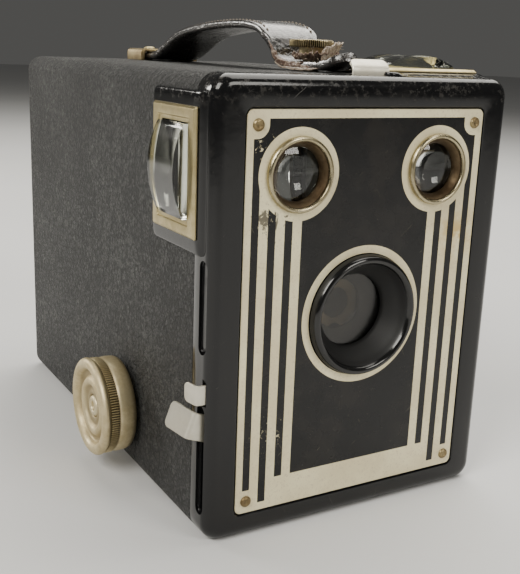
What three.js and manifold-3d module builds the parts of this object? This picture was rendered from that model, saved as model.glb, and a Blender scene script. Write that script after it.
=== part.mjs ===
// A metal box camera for 6 x 9 cm pictures on roll film, as an assembly of its real pieces.
// The case is a leatherette-covered steel sleeve with a back. The front section, which carries the
// front cover, the shutter, the two reflecting finders, the light cone and the roll holder, slides
// forward out of the case to load film.
//
// Units are millimetres. Inside the camera group x runs across the front (viewer's right is +x),
// y is the depth behind the front face and z is the height above the base. The group is shifted so
// that the exported origin is the middle of the base.
import * as THREE from 'three';
import { mergeVertices } from 'three/addons/utils/BufferGeometryUtils.js';
import Module from 'manifold-3d';

const wasm = await Module();
wasm.setup();

// ---------------------------------------------------------------- driving dimensions
const WIDTH = 80;
const HEIGHT = 105;
const DEPTH = 135;
const CORNER = 4.5; // radius of the case's long edges
const SKIN = 0.5; // leatherette
const SHEET = 0.8; // sheet steel
const FIT = 0.05; // gap between a skin and the sheet under it

const COVER_DEPTH = 8; // front cover, front to back
const COVER_WALL = 1.5;
const COVER_FACE = 1.45;
const COVER_ROUND = 2.6; // rounding of the cover's front edges
const CASE_FRONT = 8.4; // where the sleeve starts
const CASE_REAR = 130.4; // where the sleeve ends and the back cap starts
const BACK_ROUND = 3.4;

const LENS_Z = 50.5;
const FINDER_X = 19;
const FINDER_Z = 84;
const FINDER_DEPTH = 16.3; // where the finder axis turns at the mirror
const TOP_WINDOW_X = 19.8; // the top window sits a little outside its objective
const EAR_HALF = 17.2; // half length of the raised ear round the side finder's window
const EAR_HALF_TOP = 15; // and round the top finder's
const EAR_REAR = 28.9;
const EAR_SHEET = 0.8;
const EAR_LIFT = 0.1; // running gap between ear and leatherette

const PLATE_HALF_WIDTH = 32.25;
const PLATE_BOTTOM = 5.9;
const PLATE_TOP = 97.9;
const RIVET_X = 29.6;
const RIVET_Z = [8.9, 94.7];

const WINDER_Y = 49; // take-up spool and winding key axis
const WINDER_Z = 17.5;
const SUPPLY_Z = 2 * LENS_Z - WINDER_Z;
const GATE_Y = 121.6; // film plane
const ROLLER_Y = 120.4;
const ROLLER_OFFSET = 45.1; // roller axis above or below the lens axis
const HOLDER_X = 34.1; // inner face of the roll holder's side plates

const LEVER_X = -17; // shutter lever pivot
const LEVER_Z = 19.5;
const LEVER_REST = THREE.MathUtils.degToRad(20.3); // arm's tilt above level
const DISC_X = -8; // shutter disc pivot
const DISC_Z = 40;
const DISC_SWING = THREE.MathUtils.degToRad(42); // half of the disc's travel
const STOP_TRAVEL = 8; // between the two lens stops

const STRAP_HALF = 8;
const STRAP_THICK = 2.2;
const LATCH_Y = 27.5; // clamp screw that holds the front section and the strap's front end
const STRAP_RIVET_X = 4.5;
const STRAP_RIVET_Y = 116.9;
const RUBY_X = 17;
const RUBY_Z = 52;

// ---------------------------------------------------------------- solids
function solid(geometry) {
  const bare = geometry.index ? geometry.toNonIndexed() : geometry.clone();
  bare.deleteAttribute('normal');
  bare.deleteAttribute('uv');
  const merged = mergeVertices(bare, 1e-4);
  const index = merged.index.array;
  const triVerts = [];
  for (let i = 0; i < index.length; i += 3) {
    const [a, b, c] = index.slice(i, i + 3);
    if (a !== b && b !== c && a !== c) triVerts.push(a, b, c);
  }
  return new wasm.Manifold(new wasm.Mesh({
    numProp: 3,
    vertProperties: merged.attributes.position.array,
    triVerts: new Uint32Array(triVerts),
  }));
}

function geometryOf(made) {
  const mesh = made.getMesh();
  const geometry = new THREE.BufferGeometry();
  geometry.setAttribute('position', new THREE.BufferAttribute(mesh.vertProperties, mesh.numProp));
  geometry.setIndex(new THREE.BufferAttribute(mesh.triVerts, 1));
  return geometry;
}

const join = (...pieces) => pieces.reduce((all, next) => all.add(next));
const cut = (body, ...tools) => tools.reduce((left, tool) => left.subtract(tool), body);

function block(x0, x1, y0, y1, z0, z1) {
  const box = new THREE.BoxGeometry(x1 - x0, y1 - y0, z1 - z0);
  return solid(box.translate((x0 + x1) / 2, (y0 + y1) / 2, (z0 + z1) / 2));
}

// A cylinder along one axis, through the point (a, b) of the plane across that axis.
function rod(axis, radius, from, to, a = 0, b = 0, sides = 24) {
  const cylinder = new THREE.CylinderGeometry(radius, radius, to - from, sides);
  cylinder.translate(0, (from + to) / 2, 0);
  if (axis === 'x') return solid(cylinder.rotateZ(-Math.PI / 2).translate(0, a, b));
  if (axis === 'z') return solid(cylinder.rotateX(Math.PI / 2).translate(a, b, 0));
  return solid(cylinder.translate(a, 0, b));
}

// A body turned about the y axis from (radius, y) pairs.
function turned(profile, sides = 24) {
  const points = profile.map(([r, y]) => new THREE.Vector2(r, y));
  if (profile[0][0] > 0) points.push(points[0].clone());
  const made = solid(new THREE.LatheGeometry(points, sides));
  return made.volume() > 0 ? made : solid(new THREE.LatheGeometry(points.reverse(), sides));
}

// A flat outline pushed along an axis. The outline is in (x, z), (y, z) or (x, y).
function slab(outline, axis, from, to, round = 0, roundSteps = 3) {
  const shape = outline instanceof THREE.Shape
    ? outline : new THREE.Shape(outline.map(([a, b]) => new THREE.Vector2(a, b)));
  const made = new THREE.ExtrudeGeometry(shape, {
    depth: to - from - 2 * round,
    bevelEnabled: round > 0,
    bevelSize: round,
    bevelThickness: round,
    bevelSegments: roundSteps,
    curveSegments: 3,
  });
  made.translate(0, 0, round);
  if (axis === 'y') return solid(made.rotateX(Math.PI / 2).translate(0, to, 0));
  if (axis === 'x') {
    const turn = new THREE.Matrix4().makeBasis(
      new THREE.Vector3(0, 1, 0), new THREE.Vector3(0, 0, 1), new THREE.Vector3(1, 0, 0));
    return solid(made.applyMatrix4(turn).translate(from, 0, 0));
  }
  return solid(made.translate(0, 0, from));
}

function roundedRectangle(a0, a1, b0, b1, radius) {
  const shape = new THREE.Shape();
  shape.absarc(a1 - radius, b1 - radius, radius, 0, Math.PI / 2);
  shape.absarc(a0 + radius, b1 - radius, radius, Math.PI / 2, Math.PI);
  shape.absarc(a0 + radius, b0 + radius, radius, Math.PI, 1.5 * Math.PI);
  shape.absarc(a1 - radius, b0 + radius, radius, 1.5 * Math.PI, 2 * Math.PI);
  return shape;
}

// The case's cross-section, inset all round, pushed from y0 to y1.
function section(inset, y0, y1) {
  const outline = roundedRectangle(
    inset - WIDTH / 2, WIDTH / 2 - inset, inset, HEIGHT - inset, Math.max(CORNER - inset, 1.5));
  return slab(outline, 'y', y0, y1);
}

// The same with its edges rounded at both ends.
function pillow(inset, y0, y1, round) {
  const size = inset + round;
  const outline = roundedRectangle(
    size - WIDTH / 2, WIDTH / 2 - size, size, HEIGHT - size, CORNER - inset - round);
  return slab(outline, 'y', y0, y1, round);
}

// A four-sided taper along y, centred on the lens axis, from half sizes at y0 to half sizes at y1.
function taper(y0, halfWidth0, halfHeight0, y1, halfWidth1, halfHeight1) {
  const box = new THREE.BoxGeometry(2, 2, 2);
  const place = box.attributes.position;
  for (let i = 0; i < place.count; i += 1) {
    const front = place.getY(i) < 0;
    const x = place.getX(i) * (front ? halfWidth0 : halfWidth1);
    const z = place.getZ(i) * (front ? halfHeight0 : halfHeight1);
    place.setXYZ(i, x, front ? y0 : y1, LENS_Z + z);
  }
  return solid(box);
}

// ---------------------------------------------------------------- materials
const finish = (color, roughness, metalness, more = {}) => new THREE.MeshStandardMaterial({
  color, roughness, metalness, ...more,
});
const enamel = finish(0x151514, 0.3, 0.1);
const leatherette = finish(0x1d1d1c, 0.6, 0);
const litho = finish(0xcfc4a8, 0.4, 0.6);
const brass = finish(0xb79f62, 0.4, 1);
const nickel = finish(0xd2ccb8, 0.35, 1);
const steel = finish(0x5f6062, 0.5, 1);
const blackSteel = finish(0x1a1a1b, 0.6, 0.4);
const glass = finish(0xdfe6e2, 0.05, 0, { transparent: true, opacity: 0.35 });
const mirrorGlass = finish(0xe8e8e8, 0.05, 1);
const ruby = finish(0x8c0f12, 0.2, 0, { transparent: true, opacity: 0.8 });
const leather = finish(0x171412, 0.35, 0);

// ---------------------------------------------------------------- scene graph
const camera = new THREE.Group();
camera.position.y = -DEPTH / 2;
const frontSection = new THREE.Group();
camera.add(frontSection);

function add(parent, name, made, material, position = [0, 0, 0], rotation = [0, 0, 0]) {
  const mesh = new THREE.Mesh(geometryOf(made), material);
  mesh.name = name;
  mesh.position.set(...position);
  mesh.rotation.set(...rotation);
  parent.add(mesh);
}

// ---------------------------------------------------------------- case
// Holes that go through the sleeve and its leatherette alike. Both finder notches are open at the
// front, so that the window lenses can leave with the front section.
function sleeveHoles() {
  return [
    block(TOP_WINDOW_X - 11.2, TOP_WINDOW_X + 11.2, 0, 24.6, HEIGHT - 5, HEIGHT + 1),
    block(-WIDTH / 2 - 1, 5 - WIDTH / 2, 0, 24.6, FINDER_Z - 11.2, FINDER_Z + 11.2),
    rod('x', 4.9, -WIDTH / 2 - 1, 5 - WIDTH / 2, WINDER_Y, WINDER_Z),
    rod('z', 2.4, HEIGHT - 5, HEIGHT + 1, 0, LATCH_Y),
    ...[-1, 1].map((side) => rod(
      'z', 1.1, HEIGHT - 5, HEIGHT + 1, side * STRAP_RIVET_X, STRAP_RIVET_Y, 12)),
  ];
}

function sleeve(outerInset, innerInset) {
  return cut(
    section(outerInset, CASE_FRONT, CASE_REAR),
    section(innerInset, CASE_FRONT - 1, CASE_REAR + 1),
    ...sleeveHoles(),
  );
}

const sheetInset = SKIN + FIT;
add(camera, 'case_shell', sleeve(sheetInset, sheetInset + SHEET), blackSteel);

// The base strip turns up a little at the long edges. The wrap covers both sides and the top.
const BASE_HALF = 36.8;
add(camera, 'leatherette_wrap', cut(
  sleeve(0, SKIN),
  block(-BASE_HALF, BASE_HALF, 0, DEPTH, -1, 2),
), leatherette);
add(camera, 'leatherette_base', sleeve(0, SKIN).intersect(
  block(0.1 - BASE_HALF, BASE_HALF - 0.1, 0, DEPTH, -1, 2)), leatherette);

const BACK_FRONT = CASE_REAR + 0.1;
function backCap(inset, rear, windowRadius) {
  const roundEnd = pillow(inset, CASE_REAR - 12, rear, BACK_ROUND - inset);
  return cut(
    roundEnd,
    block(-WIDTH, WIDTH, 0, BACK_FRONT, -1, HEIGHT + 1),
    rod('y', windowRadius, 0, DEPTH + 1, RUBY_X, RUBY_Z),
  );
}
const skinBack = cut(
  backCap(0, DEPTH, 5.9),
  pillow(SKIN, CASE_REAR - 12, DEPTH - SKIN, BACK_ROUND - SKIN),
);
const steelBack = cut(
  backCap(sheetInset, DEPTH - sheetInset, 5.2),
  section(sheetInset + 3.2, CASE_REAR - 2, DEPTH - sheetInset - SHEET),
);
add(camera, 'case_back', steelBack, blackSteel);
add(camera, 'leatherette_back', skinBack, leatherette);

const rubyFront = DEPTH - sheetInset - SHEET - 0.8;
add(camera, 'ruby_window', rod('y', 7, 0, 0.6), ruby, [RUBY_X, rubyFront, RUBY_Z]);
add(camera, 'ruby_window_ring', turned([[5.3, 0], [8.4, 0], [8.4, 0.7], [5.3, 0.7]]),
  steel, [RUBY_X, rubyFront - 0.9, RUBY_Z]);

// ---------------------------------------------------------------- carrying strap and latch
// The strap's side view: a tip curled up at the front, flat under the clamp screw, steeply up and
// over the hand space, flat at the rear.
function strapRibbon() {
  const middle = new THREE.CatmullRomCurve3([
    [10.8, 108.9], [13.9, 107.6], [17.9, 106.6], [22.4, 106.35], [30, 106.35], [32.8, 106.75],
    [34.5, 108.1], [35.5, 110.3], [37.2, 112.8], [40.6, 114.8], [46.3, 115.75], [53.3, 116.0],
    [61.3, 115.85], [69.3, 115.4], [78.3, 114.6], [85.3, 113.6], [92.3, 111.8], [99.3, 109.0],
    [104.6, 107.1], [110.4, 106.4], [123.9, 106.4],
  ].map(([y, z]) => new THREE.Vector3(y, z, 0)), false, 'centripetal');
  const steps = 36;
  const upper = [];
  const lower = [];
  for (let i = 0; i <= steps; i += 1) {
    const p = middle.getPointAt(i / steps);
    const t = middle.getTangentAt(i / steps).multiplyScalar(STRAP_THICK / 2);
    upper.push([p.x - t.y, p.y + t.x]);
    lower.unshift([p.x + t.y, p.y - t.x]);
  }
  return slab([...upper, ...lower], 'x', -STRAP_HALF, STRAP_HALF);
}

// The strap's plan: full width, tapering to a long round-ended tongue under the clamp screw.
function strapPlan() {
  const tongue = 4.4;
  const tip = 3.8;
  const plan = new THREE.Shape();
  plan.moveTo(STRAP_HALF, 37.5);
  plan.lineTo(STRAP_HALF, 125);
  plan.lineTo(-STRAP_HALF, 125);
  plan.lineTo(-STRAP_HALF, 37.5);
  plan.lineTo(-tongue, 31);
  plan.absarc(0, 14.6, tip, Math.PI, 2 * Math.PI);
  plan.lineTo(tongue, 31);
  return slab(plan, 'z', HEIGHT - 2, HEIGHT + 15);
}

const strapHoles = [
  rod('z', 2.4, HEIGHT, HEIGHT + 6, 0, LATCH_Y),
  ...[-1, 1].map((side) => rod(
    'z', 1.1, HEIGHT, HEIGHT + 6, side * STRAP_RIVET_X, STRAP_RIVET_Y, 12)),
];
add(camera, 'carry_strap', cut(strapRibbon().intersect(strapPlan()), ...strapHoles), leather);

const CLIP_TOP = HEIGHT + 3.6;
const rearClip = cut(
  slab(roundedRectangle(-9.8, 9.8, HEIGHT - 3, CLIP_TOP, 1.4), 'y', 111, 122.8),
  block(-12, 12, 100, 130, HEIGHT - 4, HEIGHT + 0.05),
  block(-8.3, 8.3, 100, 130, HEIGHT - 4, HEIGHT + 2.75),
  ...[-1, 1].map((side) => rod(
    'z', 1.1, HEIGHT, HEIGHT + 6, side * STRAP_RIVET_X, STRAP_RIVET_Y, 12)),
);
add(camera, 'strap_clip', rearClip, nickel);

const strapRivet = join(
  rod('z', 0.95, HEIGHT - 3, CLIP_TOP + 0.3, 0, 0, 10),
  rod('z', 1.8, CLIP_TOP + 0.1, CLIP_TOP + 0.7, 0, 0, 12),
  rod('z', 1.6, HEIGHT - 3.2, HEIGHT - 1.6, 0, 0, 12),
);
[['left', -1], ['right', 1]].forEach(([where, side]) => {
  add(camera, `strap_rivet_${where}`, strapRivet, brass, [side * STRAP_RIVET_X, STRAP_RIVET_Y, 0]);
});

// Turned pieces on a vertical axis are turned about y and tipped up.
const UPRIGHT = [Math.PI / 2, 0, 0];
const ring = (inner, outer, from, to, sides = 24) => turned(
  [[inner, from], [outer, from], [outer, to], [inner, to]], sides);
add(camera, 'latch_clamp_plate', cut(
  block(-5, 5, LATCH_Y - 4, LATCH_Y + 4, 99.7, 101.1),
  rod('z', 2.1, 99, 102, 0, LATCH_Y),
), steel);
const latchScrew = turned([
  [0, 98.9], [1.9, 98.9], [1.9, HEIGHT + 2.65], [3.6, HEIGHT + 2.65], [3.6, HEIGHT + 3.4],
  [3, HEIGHT + 3.6], [3, HEIGHT + 5.6],
  [5, HEIGHT + 5.6], [5.4, HEIGHT + 5.9], [5.4, HEIGHT + 7.2], [5, HEIGHT + 7.5], [0, HEIGHT + 7.5],
], 24);
add(camera, 'latch_screw', latchScrew, brass, [0, LATCH_Y, 0], UPRIGHT);

// ---------------------------------------------------------------- winding key
// Pieces on the key's axis are turned about y, with y measured outwards from the case's side.
const winder = new THREE.Group();
winder.position.set(-WIDTH / 2, WINDER_Y, WINDER_Z);
winder.rotation.z = Math.PI / 2;
camera.add(winder);

add(winder, 'winder_bushing', turned([
  [3.15, -1.2], [4.6, -1.2], [4.6, 0.1], [8, 0.1], [8, 0.7], [4.6, 0.7], [4.6, 6.5], [3.15, 6.5],
], 24), nickel);
add(winder, 'winder_collar', ring(4.9, 7, 4.2, 5.6), steel);
add(winder, 'winding_knob', turned([
  [10.4, 1.2], [11.7, 1.2], [12.4, 2.2], [12.6, 4], [12.3, 5.7], [12.5, 6],
  [12.5, 8.2], [12.9, 8.9], [12.6, 9.9], [11.3, 10.5], [10.2, 10.1],
  [9.5, 8.6], [8.2, 8.6], [6.7, 9.6], [5, 8.6], [3, 8.6],
  [3, 6.9], [4.4, 6.9], [4.4, 7.5], [10.4, 7.5],
], 32), nickel);
// The shaft ends in a flat tongue, which lies level at rest.
add(winder, 'winding_shaft', join(
  rod('y', 2.9, -1.3, 9.2),
  block(-2.6, 2.6, -4.7, -1.2, -0.5, 0.5),
), steel);

// ---------------------------------------------------------------- front cover
const finderAxes = [[-FINDER_X, FINDER_Z], [FINDER_X, FINDER_Z]];
const rivetPlaces = [-RIVET_X, RIVET_X].flatMap((x) => RIVET_Z.map((z) => [x, z]));

// A raised ear in the frame (y, along the edge) that stands off the case by the sheet's thickness.
function ears() {
  const side = join(
    slab(roundedRectangle(3, EAR_REAR, FINDER_Z - EAR_HALF, FINDER_Z + EAR_HALF, 1.6), 'x',
      -WIDTH / 2 - EAR_LIFT - EAR_SHEET, -WIDTH / 2 - EAR_LIFT),
    block(-WIDTH / 2 - 0.5, 1 - WIDTH / 2, 3.4, COVER_DEPTH, FINDER_Z - EAR_HALF + 0.6,
      FINDER_Z + EAR_HALF - 0.6),
  );
  const top = join(
    slab(roundedRectangle(TOP_WINDOW_X - EAR_HALF_TOP, TOP_WINDOW_X + EAR_HALF_TOP, 3, EAR_REAR,
      1.6), 'z', HEIGHT + EAR_LIFT, HEIGHT + EAR_LIFT + EAR_SHEET),
    block(TOP_WINDOW_X - EAR_HALF_TOP + 0.6, 34.4, 3.4, COVER_DEPTH, HEIGHT - 1, HEIGHT + 0.5),
  );
  return join(side, top);
}

function coverHoles() {
  const windowHalf = [7.2, 10.7];
  return [
    block(-PLATE_HALF_WIDTH - 0.4, PLATE_HALF_WIDTH + 0.4, -1, 0.75, PLATE_BOTTOM - 0.4,
      PLATE_TOP + 0.4),
    rod('y', 14.2, -1, 3, 0, LENS_Z, 28),
    ...finderAxes.map(([x, z]) => rod('y', 7.7, -1, 3, x, z, 24)),
    ...rivetPlaces.map(([x, z]) => rod('y', 1.1, -1, 3, x, z, 10)),
    // finder windows through the ears and the case side of the cover
    block(-WIDTH, 6 - WIDTH / 2, FINDER_DEPTH - windowHalf[0], FINDER_DEPTH + windowHalf[0],
      FINDER_Z - windowHalf[1], FINDER_Z + windowHalf[1]),
    block(TOP_WINDOW_X - windowHalf[1], TOP_WINDOW_X + windowHalf[1],
      FINDER_DEPTH - windowHalf[0], FINDER_DEPTH + windowHalf[0], HEIGHT - 6, HEIGHT + 5),
    // the top ear steps back round the stop slide's tab
    block(0, 9.2, 0, 5.35, HEIGHT + 0.02, HEIGHT + 3),
    // slots for the stop slide, the time slide and the shutter lever
    block(-4.1, 6.7, 3.9, 5.1, HEIGHT - 5, HEIGHT + 5),
    block(-WIDTH, 6 - WIDTH / 2, 1.55, 2.65, 33.4, 39),
    block(-WIDTH, 6 - WIDTH / 2, 2.7, 4.1, 7.2, 32.4),
    // pressed channels above and around the lever slot
    slab(roundedRectangle(1.8, 5.2, 45, 66, 1.6), 'x', -WIDTH / 2 - 2, 0.8 - WIDTH / 2),
    slab(roundedRectangle(1.8, 5.2, 6.6, 33.2, 1.6), 'x', -WIDTH / 2 - 2, 0.8 - WIDTH / 2),
  ];
}

function frontCover() {
  const shell = pillow(0, 0, COVER_DEPTH + 12, COVER_ROUND).intersect(
    block(-WIDTH, WIDTH, -1, COVER_DEPTH, -1, HEIGHT + 1));
  const cavity = section(COVER_WALL, COVER_FACE, COVER_DEPTH + 1);
  return cut(join(cut(shell, cavity), ears()), ...coverHoles());
}
add(frontSection, 'front_cover', frontCover(), enamel);

add(frontSection, 'face_plate', cut(
  block(-PLATE_HALF_WIDTH, PLATE_HALF_WIDTH, 0.25, 0.7, PLATE_BOTTOM, PLATE_TOP),
  rod('y', 14.9, -1, 3, 0, LENS_Z, 32),
  ...finderAxes.map(([x, z]) => rod('y', 7.7, -1, 3, x, z, 24)),
  ...rivetPlaces.map(([x, z]) => rod('y', 1.1, -1, 3, x, z, 10)),
), litho);

const plateRivet = turned([
  [0, -0.45], [0.7, -0.35], [1.15, -0.1], [1.35, 0.2], [0.95, 0.2], [0.95, 2.4], [0, 2.4],
], 12);
rivetPlaces.forEach(([x, z], i) => {
  add(frontSection, `plate_rivet_${i + 1}`, plateRivet, brass, [x, 0, z]);
});

// ---------------------------------------------------------------- taking lens and shutter
add(frontSection, 'lens_bezel', turned([
  [13.2, 0.15], [14.6, 0.15], [14.6, -0.9], [14.2, -1.8], [13.5, -2.2], [12.7, -1.9], [12.2, -1],
  [8.8, 3.9], [8.8, 4.9], [9.8, 4.9], [9.8, 4.2], [12.8, 1],
], 32), enamel, [0, 0, LENS_Z]);
add(frontSection, 'front_glass', rod('y', 9.6, 5.1, 6.1, 0, 0, 32), glass, [0, 0, LENS_Z]);
add(frontSection, 'shutter_board', cut(
  block(-35.6, 35.6, 10.3, 11.1, 4.2, 65.8),
  rod('y', 6.2, 10, 12, 0, LENS_Z),
  rod('y', 2.25, 10, 12, LEVER_X, LEVER_Z),
  rod('y', 1.6, 10, 12, DISC_X, DISC_Z),
), blackSteel);

// The disc's opening swings past the lens at mid travel, and covers it at both ends.
const lensAngle = Math.atan2(LENS_Z - DISC_Z, -DISC_X);
const lensRadius = Math.hypot(LENS_Z - DISC_Z, DISC_X);
const openingAngle = lensAngle + DISC_SWING;
add(frontSection, 'shutter_disc', cut(
  rod('y', lensRadius + 5.3, 12.6, 13.1, 0, 0, 32),
  rod('y', 1.65, 12, 14),
  rod('y', 4.2, 12, 14, lensRadius * Math.cos(openingAngle), lensRadius * Math.sin(openingAngle)),
), blackSteel, [DISC_X, 0, DISC_Z]);
add(frontSection, 'shutter_disc_pivot', turned([
  [0, 9.5], [2.3, 9.5], [2.3, 10.2], [1.4, 10.2], [1.4, 13.3], [2.6, 13.3], [2.6, 13.9], [0, 13.9],
], 20), steel, [DISC_X, 0, DISC_Z]);

// The lever's outer arm leaves the cover's side and bends back into a finger pad. Its axle goes
// through the shutter board to a crank that faces the disc.
function shutterLever() {
  const tilt = new THREE.Matrix4().makeRotationY(LEVER_REST);
  const outline = new THREE.Shape([
    [0, 3], [-27.2, 3], [-28, 3.6], [-29.3, 10.8], [-28.7, 11], [-27.4, 4.3], [-26.9, 3.7], [0, 3.7],
  ].map(([x, y]) => new THREE.Vector2(x, y)));
  const arm = new THREE.ExtrudeGeometry(outline, { depth: 6.2, bevelEnabled: false });
  const crankTurn = Math.atan2(DISC_Z - LEVER_Z, DISC_X - LEVER_X);
  const crank = new THREE.BoxGeometry(9, 0.6, 3.4).translate(4.5, 13.7, 0).rotateY(-crankTurn);
  return join(
    solid(arm.translate(0, 0, -3.1).applyMatrix4(tilt)),
    rod('y', 4.2, 3, 3.7),
    rod('y', 2, 2.4, 14),
    solid(crank),
  );
}
add(frontSection, 'shutter_lever', shutterLever(), nickel, [LEVER_X, 0, LEVER_Z]);

// A hairpin spring from the crank's tip towards the disc, which throws the disc over centre.
function hairpin() {
  const reach = new THREE.Vector3(DISC_X - LEVER_X, 0, DISC_Z - LEVER_Z).normalize();
  const aside = new THREE.Vector3(-reach.z, 0, reach.x);
  const at = (along, out) => reach.clone().multiplyScalar(along)
    .addScaledVector(aside, out).setY(13.7);
  const path = new THREE.CatmullRomCurve3(
    [at(9.5, 0), at(11, 2.6), at(14.5, 4.2), at(17.2, 2.4), at(17.6, 0)]);
  const wire = new THREE.Shape().absarc(0, 0, 0.25, 0, 2 * Math.PI);
  const bent = new THREE.ExtrudeGeometry(wire, {
    steps: 16, curveSegments: 4, extrudePath: path, bevelEnabled: false,
  });
  const made = solid(bent);
  return made.volume() > 0 ? made : made.mirror([0, 1, 0]);
}
add(frontSection, 'shutter_spring', hairpin(), steel, [LEVER_X, 0, LEVER_Z]);

// The stop slide hangs between the finders, steps back behind the shutter board and carries the
// two lens stops. Its top is bent into a finger tab.
const STOP_X = 1.3;
add(frontSection, 'stop_slide', cut(
  join(
    slab([
      [4.2, 66.5], [11.5, 66.5], [11.5, 38], [12.1, 38], [12.1, 67.3], [4.8, 67.3], [4.8, 106.4],
      [6.6, 108.0], [6.2, 108.5], [4.2, 106.9],
    ], 'x', STOP_X - 5, STOP_X + 5),
    block(-5.2, STOP_X - 4, 11.5, 12.1, 38, 60),
  ),
  rod('y', 3.9, 11, 13, 0, LENS_Z),
  rod('y', 2.8, 11, 13, 0, LENS_Z - STOP_TRAVEL),
), nickel);

add(frontSection, 'time_slide', slab([
  [-25, 1.8], [-25, 2.4], [-41.4, 2.4], [-42.1, 6.4], [-42.7, 6.3], [-41.9, 1.8],
], 'z', 33.9, 38.5), nickel);

// ---------------------------------------------------------------- light cone and roll holder
add(frontSection, 'light_trap', cut(
  section(COVER_WALL + 0.3, 5.8, 14),
  section(COVER_WALL + 0.3 + SHEET, 5, 15),
  block(-WIDTH, FINDER_X + 11.4, 0, 20, FINDER_Z - 11.4, HEIGHT),
), blackSteel);
add(frontSection, 'latch_tongue', cut(
  block(-7, 7, 8, 36, 101.4, 102.2),
  block(-2.3, 2.3, LATCH_Y - 2.4, 40, 101, 103),
), blackSteel);

add(frontSection, 'lens_plate', cut(
  block(-33.9, 33.9, 14.6, 15.4, 16, 69),
  rod('y', 7.6, 14, 16, 0, LENS_Z),
), blackSteel);
add(frontSection, 'meniscus_lens', turned([
  [0, 16.6], [4.3, 16.4], [8.4, 15.8], [8.6, 15.8], [8.6, 17.1], [4.3, 18.2], [0, 18.6],
], 28), glass, [0, 0, LENS_Z]);
add(frontSection, 'lens_retainer', ring(8.8, 10.6, 15.6, 17.6, 28), steel, [0, 0, LENS_Z]);

const CONE_FRONT = 18.7;
add(frontSection, 'light_cone', cut(
  join(
    taper(CONE_FRONT, 10.3, 9.3, GATE_Y - 0.3, 29.7, 42.4),
    block(-11.8, 11.8, 15.6, CONE_FRONT + 0.8, LENS_Z - 11.8, LENS_Z + 11.8),
  ),
  taper(CONE_FRONT - 1, 9.3, 8.2, GATE_Y + 1, 29, 41.9),
  block(-11, 11, 15, CONE_FRONT, LENS_Z - 11, LENS_Z + 11),
), blackSteel);

function holderSide(mirrored) {
  const spoolHole = mirrored ? 1.7 : 4.3;
  return cut(
    block(HOLDER_X, HOLDER_X + SHEET, 14.6, 124, 3, 98.4),
    block(30, 40, 10, 30, 70, 100),
    rod('x', spoolHole, 30, 40, WINDER_Y, WINDER_Z),
    rod('x', 1.7, 30, 40, WINDER_Y, SUPPLY_Z),
    ...[-1, 1].map((end) => rod(
      'x', 1.25, 30, 40, ROLLER_Y, LENS_Z + end * ROLLER_OFFSET, 16)),
  );
}
// The left plate is the right plate's outline with the larger hole for the drive dog.
add(frontSection, 'holder_side_right', holderSide(true), blackSteel);
add(frontSection, 'holder_side_left', holderSide(false), blackSteel,
  [-2 * HOLDER_X - SHEET, 0, 0]);
add(frontSection, 'film_gate', cut(
  block(-33.8, 33.8, GATE_Y, GATE_Y + SHEET, 8, 93),
  block(-28.9, 28.9, GATE_Y - 1, GATE_Y + 2, LENS_Z - 41.6, LENS_Z + 41.6),
), blackSteel);

const roller = turned([
  [0, -35.2], [1, -35.2], [1, -33.3], [2, -33.3], [2, 33.3], [1, 33.3], [1, 35.2], [0, 35.2],
], 16);
const ACROSS = [0, 0, Math.PI / 2]; // turns a piece made about y onto the x axis
[['lower', -1], ['upper', 1]].forEach(([where, end]) => {
  add(frontSection, `film_roller_${where}`, roller, nickel,
    [0, ROLLER_Y, LENS_Z + end * ROLLER_OFFSET], ACROSS);
});

// A metal film spool with a drive slot at the key's end (+y here) and a pivot hole at the other.
const SPOOL_HALF = 32.6;
add(frontSection, 'take_up_spool', cut(
  turned([
    [0, -SPOOL_HALF], [11.4, -SPOOL_HALF], [11.4, 0.9 - SPOOL_HALF], [3.4, 0.9 - SPOOL_HALF],
    [3.4, SPOOL_HALF - 0.9], [11.4, SPOOL_HALF - 0.9], [11.4, SPOOL_HALF], [0, SPOOL_HALF],
  ], 24),
  block(-0.9, 0.9, SPOOL_HALF - 3.2, SPOOL_HALF + 1, -2.9, 2.9),
  rod('y', 1.7, -SPOOL_HALF - 1, 4 - SPOOL_HALF),
), blackSteel, [0, WINDER_Y, WINDER_Z], ACROSS);
// The dog joins key and spool. Its outer slot is open at both ends and level at rest, so the
// key's tongue leaves it sideways when the front section slides out.
add(frontSection, 'spool_drive_dog', cut(
  join(rod('y', 4, 33.3, 37.2), block(-2.6, 2.6, 30.2, 33.5, -0.55, 0.55)),
  block(-0.85, 0.85, 34.8, 38, -5, 5),
), steel, [0, WINDER_Y, WINDER_Z], [Math.PI / 2, 0, Math.PI / 2]);

// Three sprung pins centre the spools: a leaf riveted to the side plate with a pin at its middle.
function spoolSpring(pinReach) {
  return join(
    slab([[-9, 0], [-7, 0], [-3, -1], [3, -1], [7, 0], [9, 0], [9, 0.4], [7, 0.4], [3, -0.6],
      [-3, -0.6], [-7, 0.4], [-9, 0.4]], 'z', -3, 3),
    rod('y', 1.4, -0.8 - pinReach, -0.8, 0, 0, 16),
  );
}
const pinSpring = spoolSpring(3.2);
add(frontSection, 'spool_spring_take_up', pinSpring, steel,
  [HOLDER_X - 0.5, WINDER_Y, WINDER_Z], [0, 0, -Math.PI / 2]);
add(frontSection, 'spool_spring_supply_right', pinSpring, steel,
  [HOLDER_X - 0.5, WINDER_Y, SUPPLY_Z], [0, 0, -Math.PI / 2]);
add(frontSection, 'spool_spring_supply_left', pinSpring, steel,
  [0.5 - HOLDER_X, WINDER_Y, SUPPLY_Z], [0, 0, Math.PI / 2]);

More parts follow.
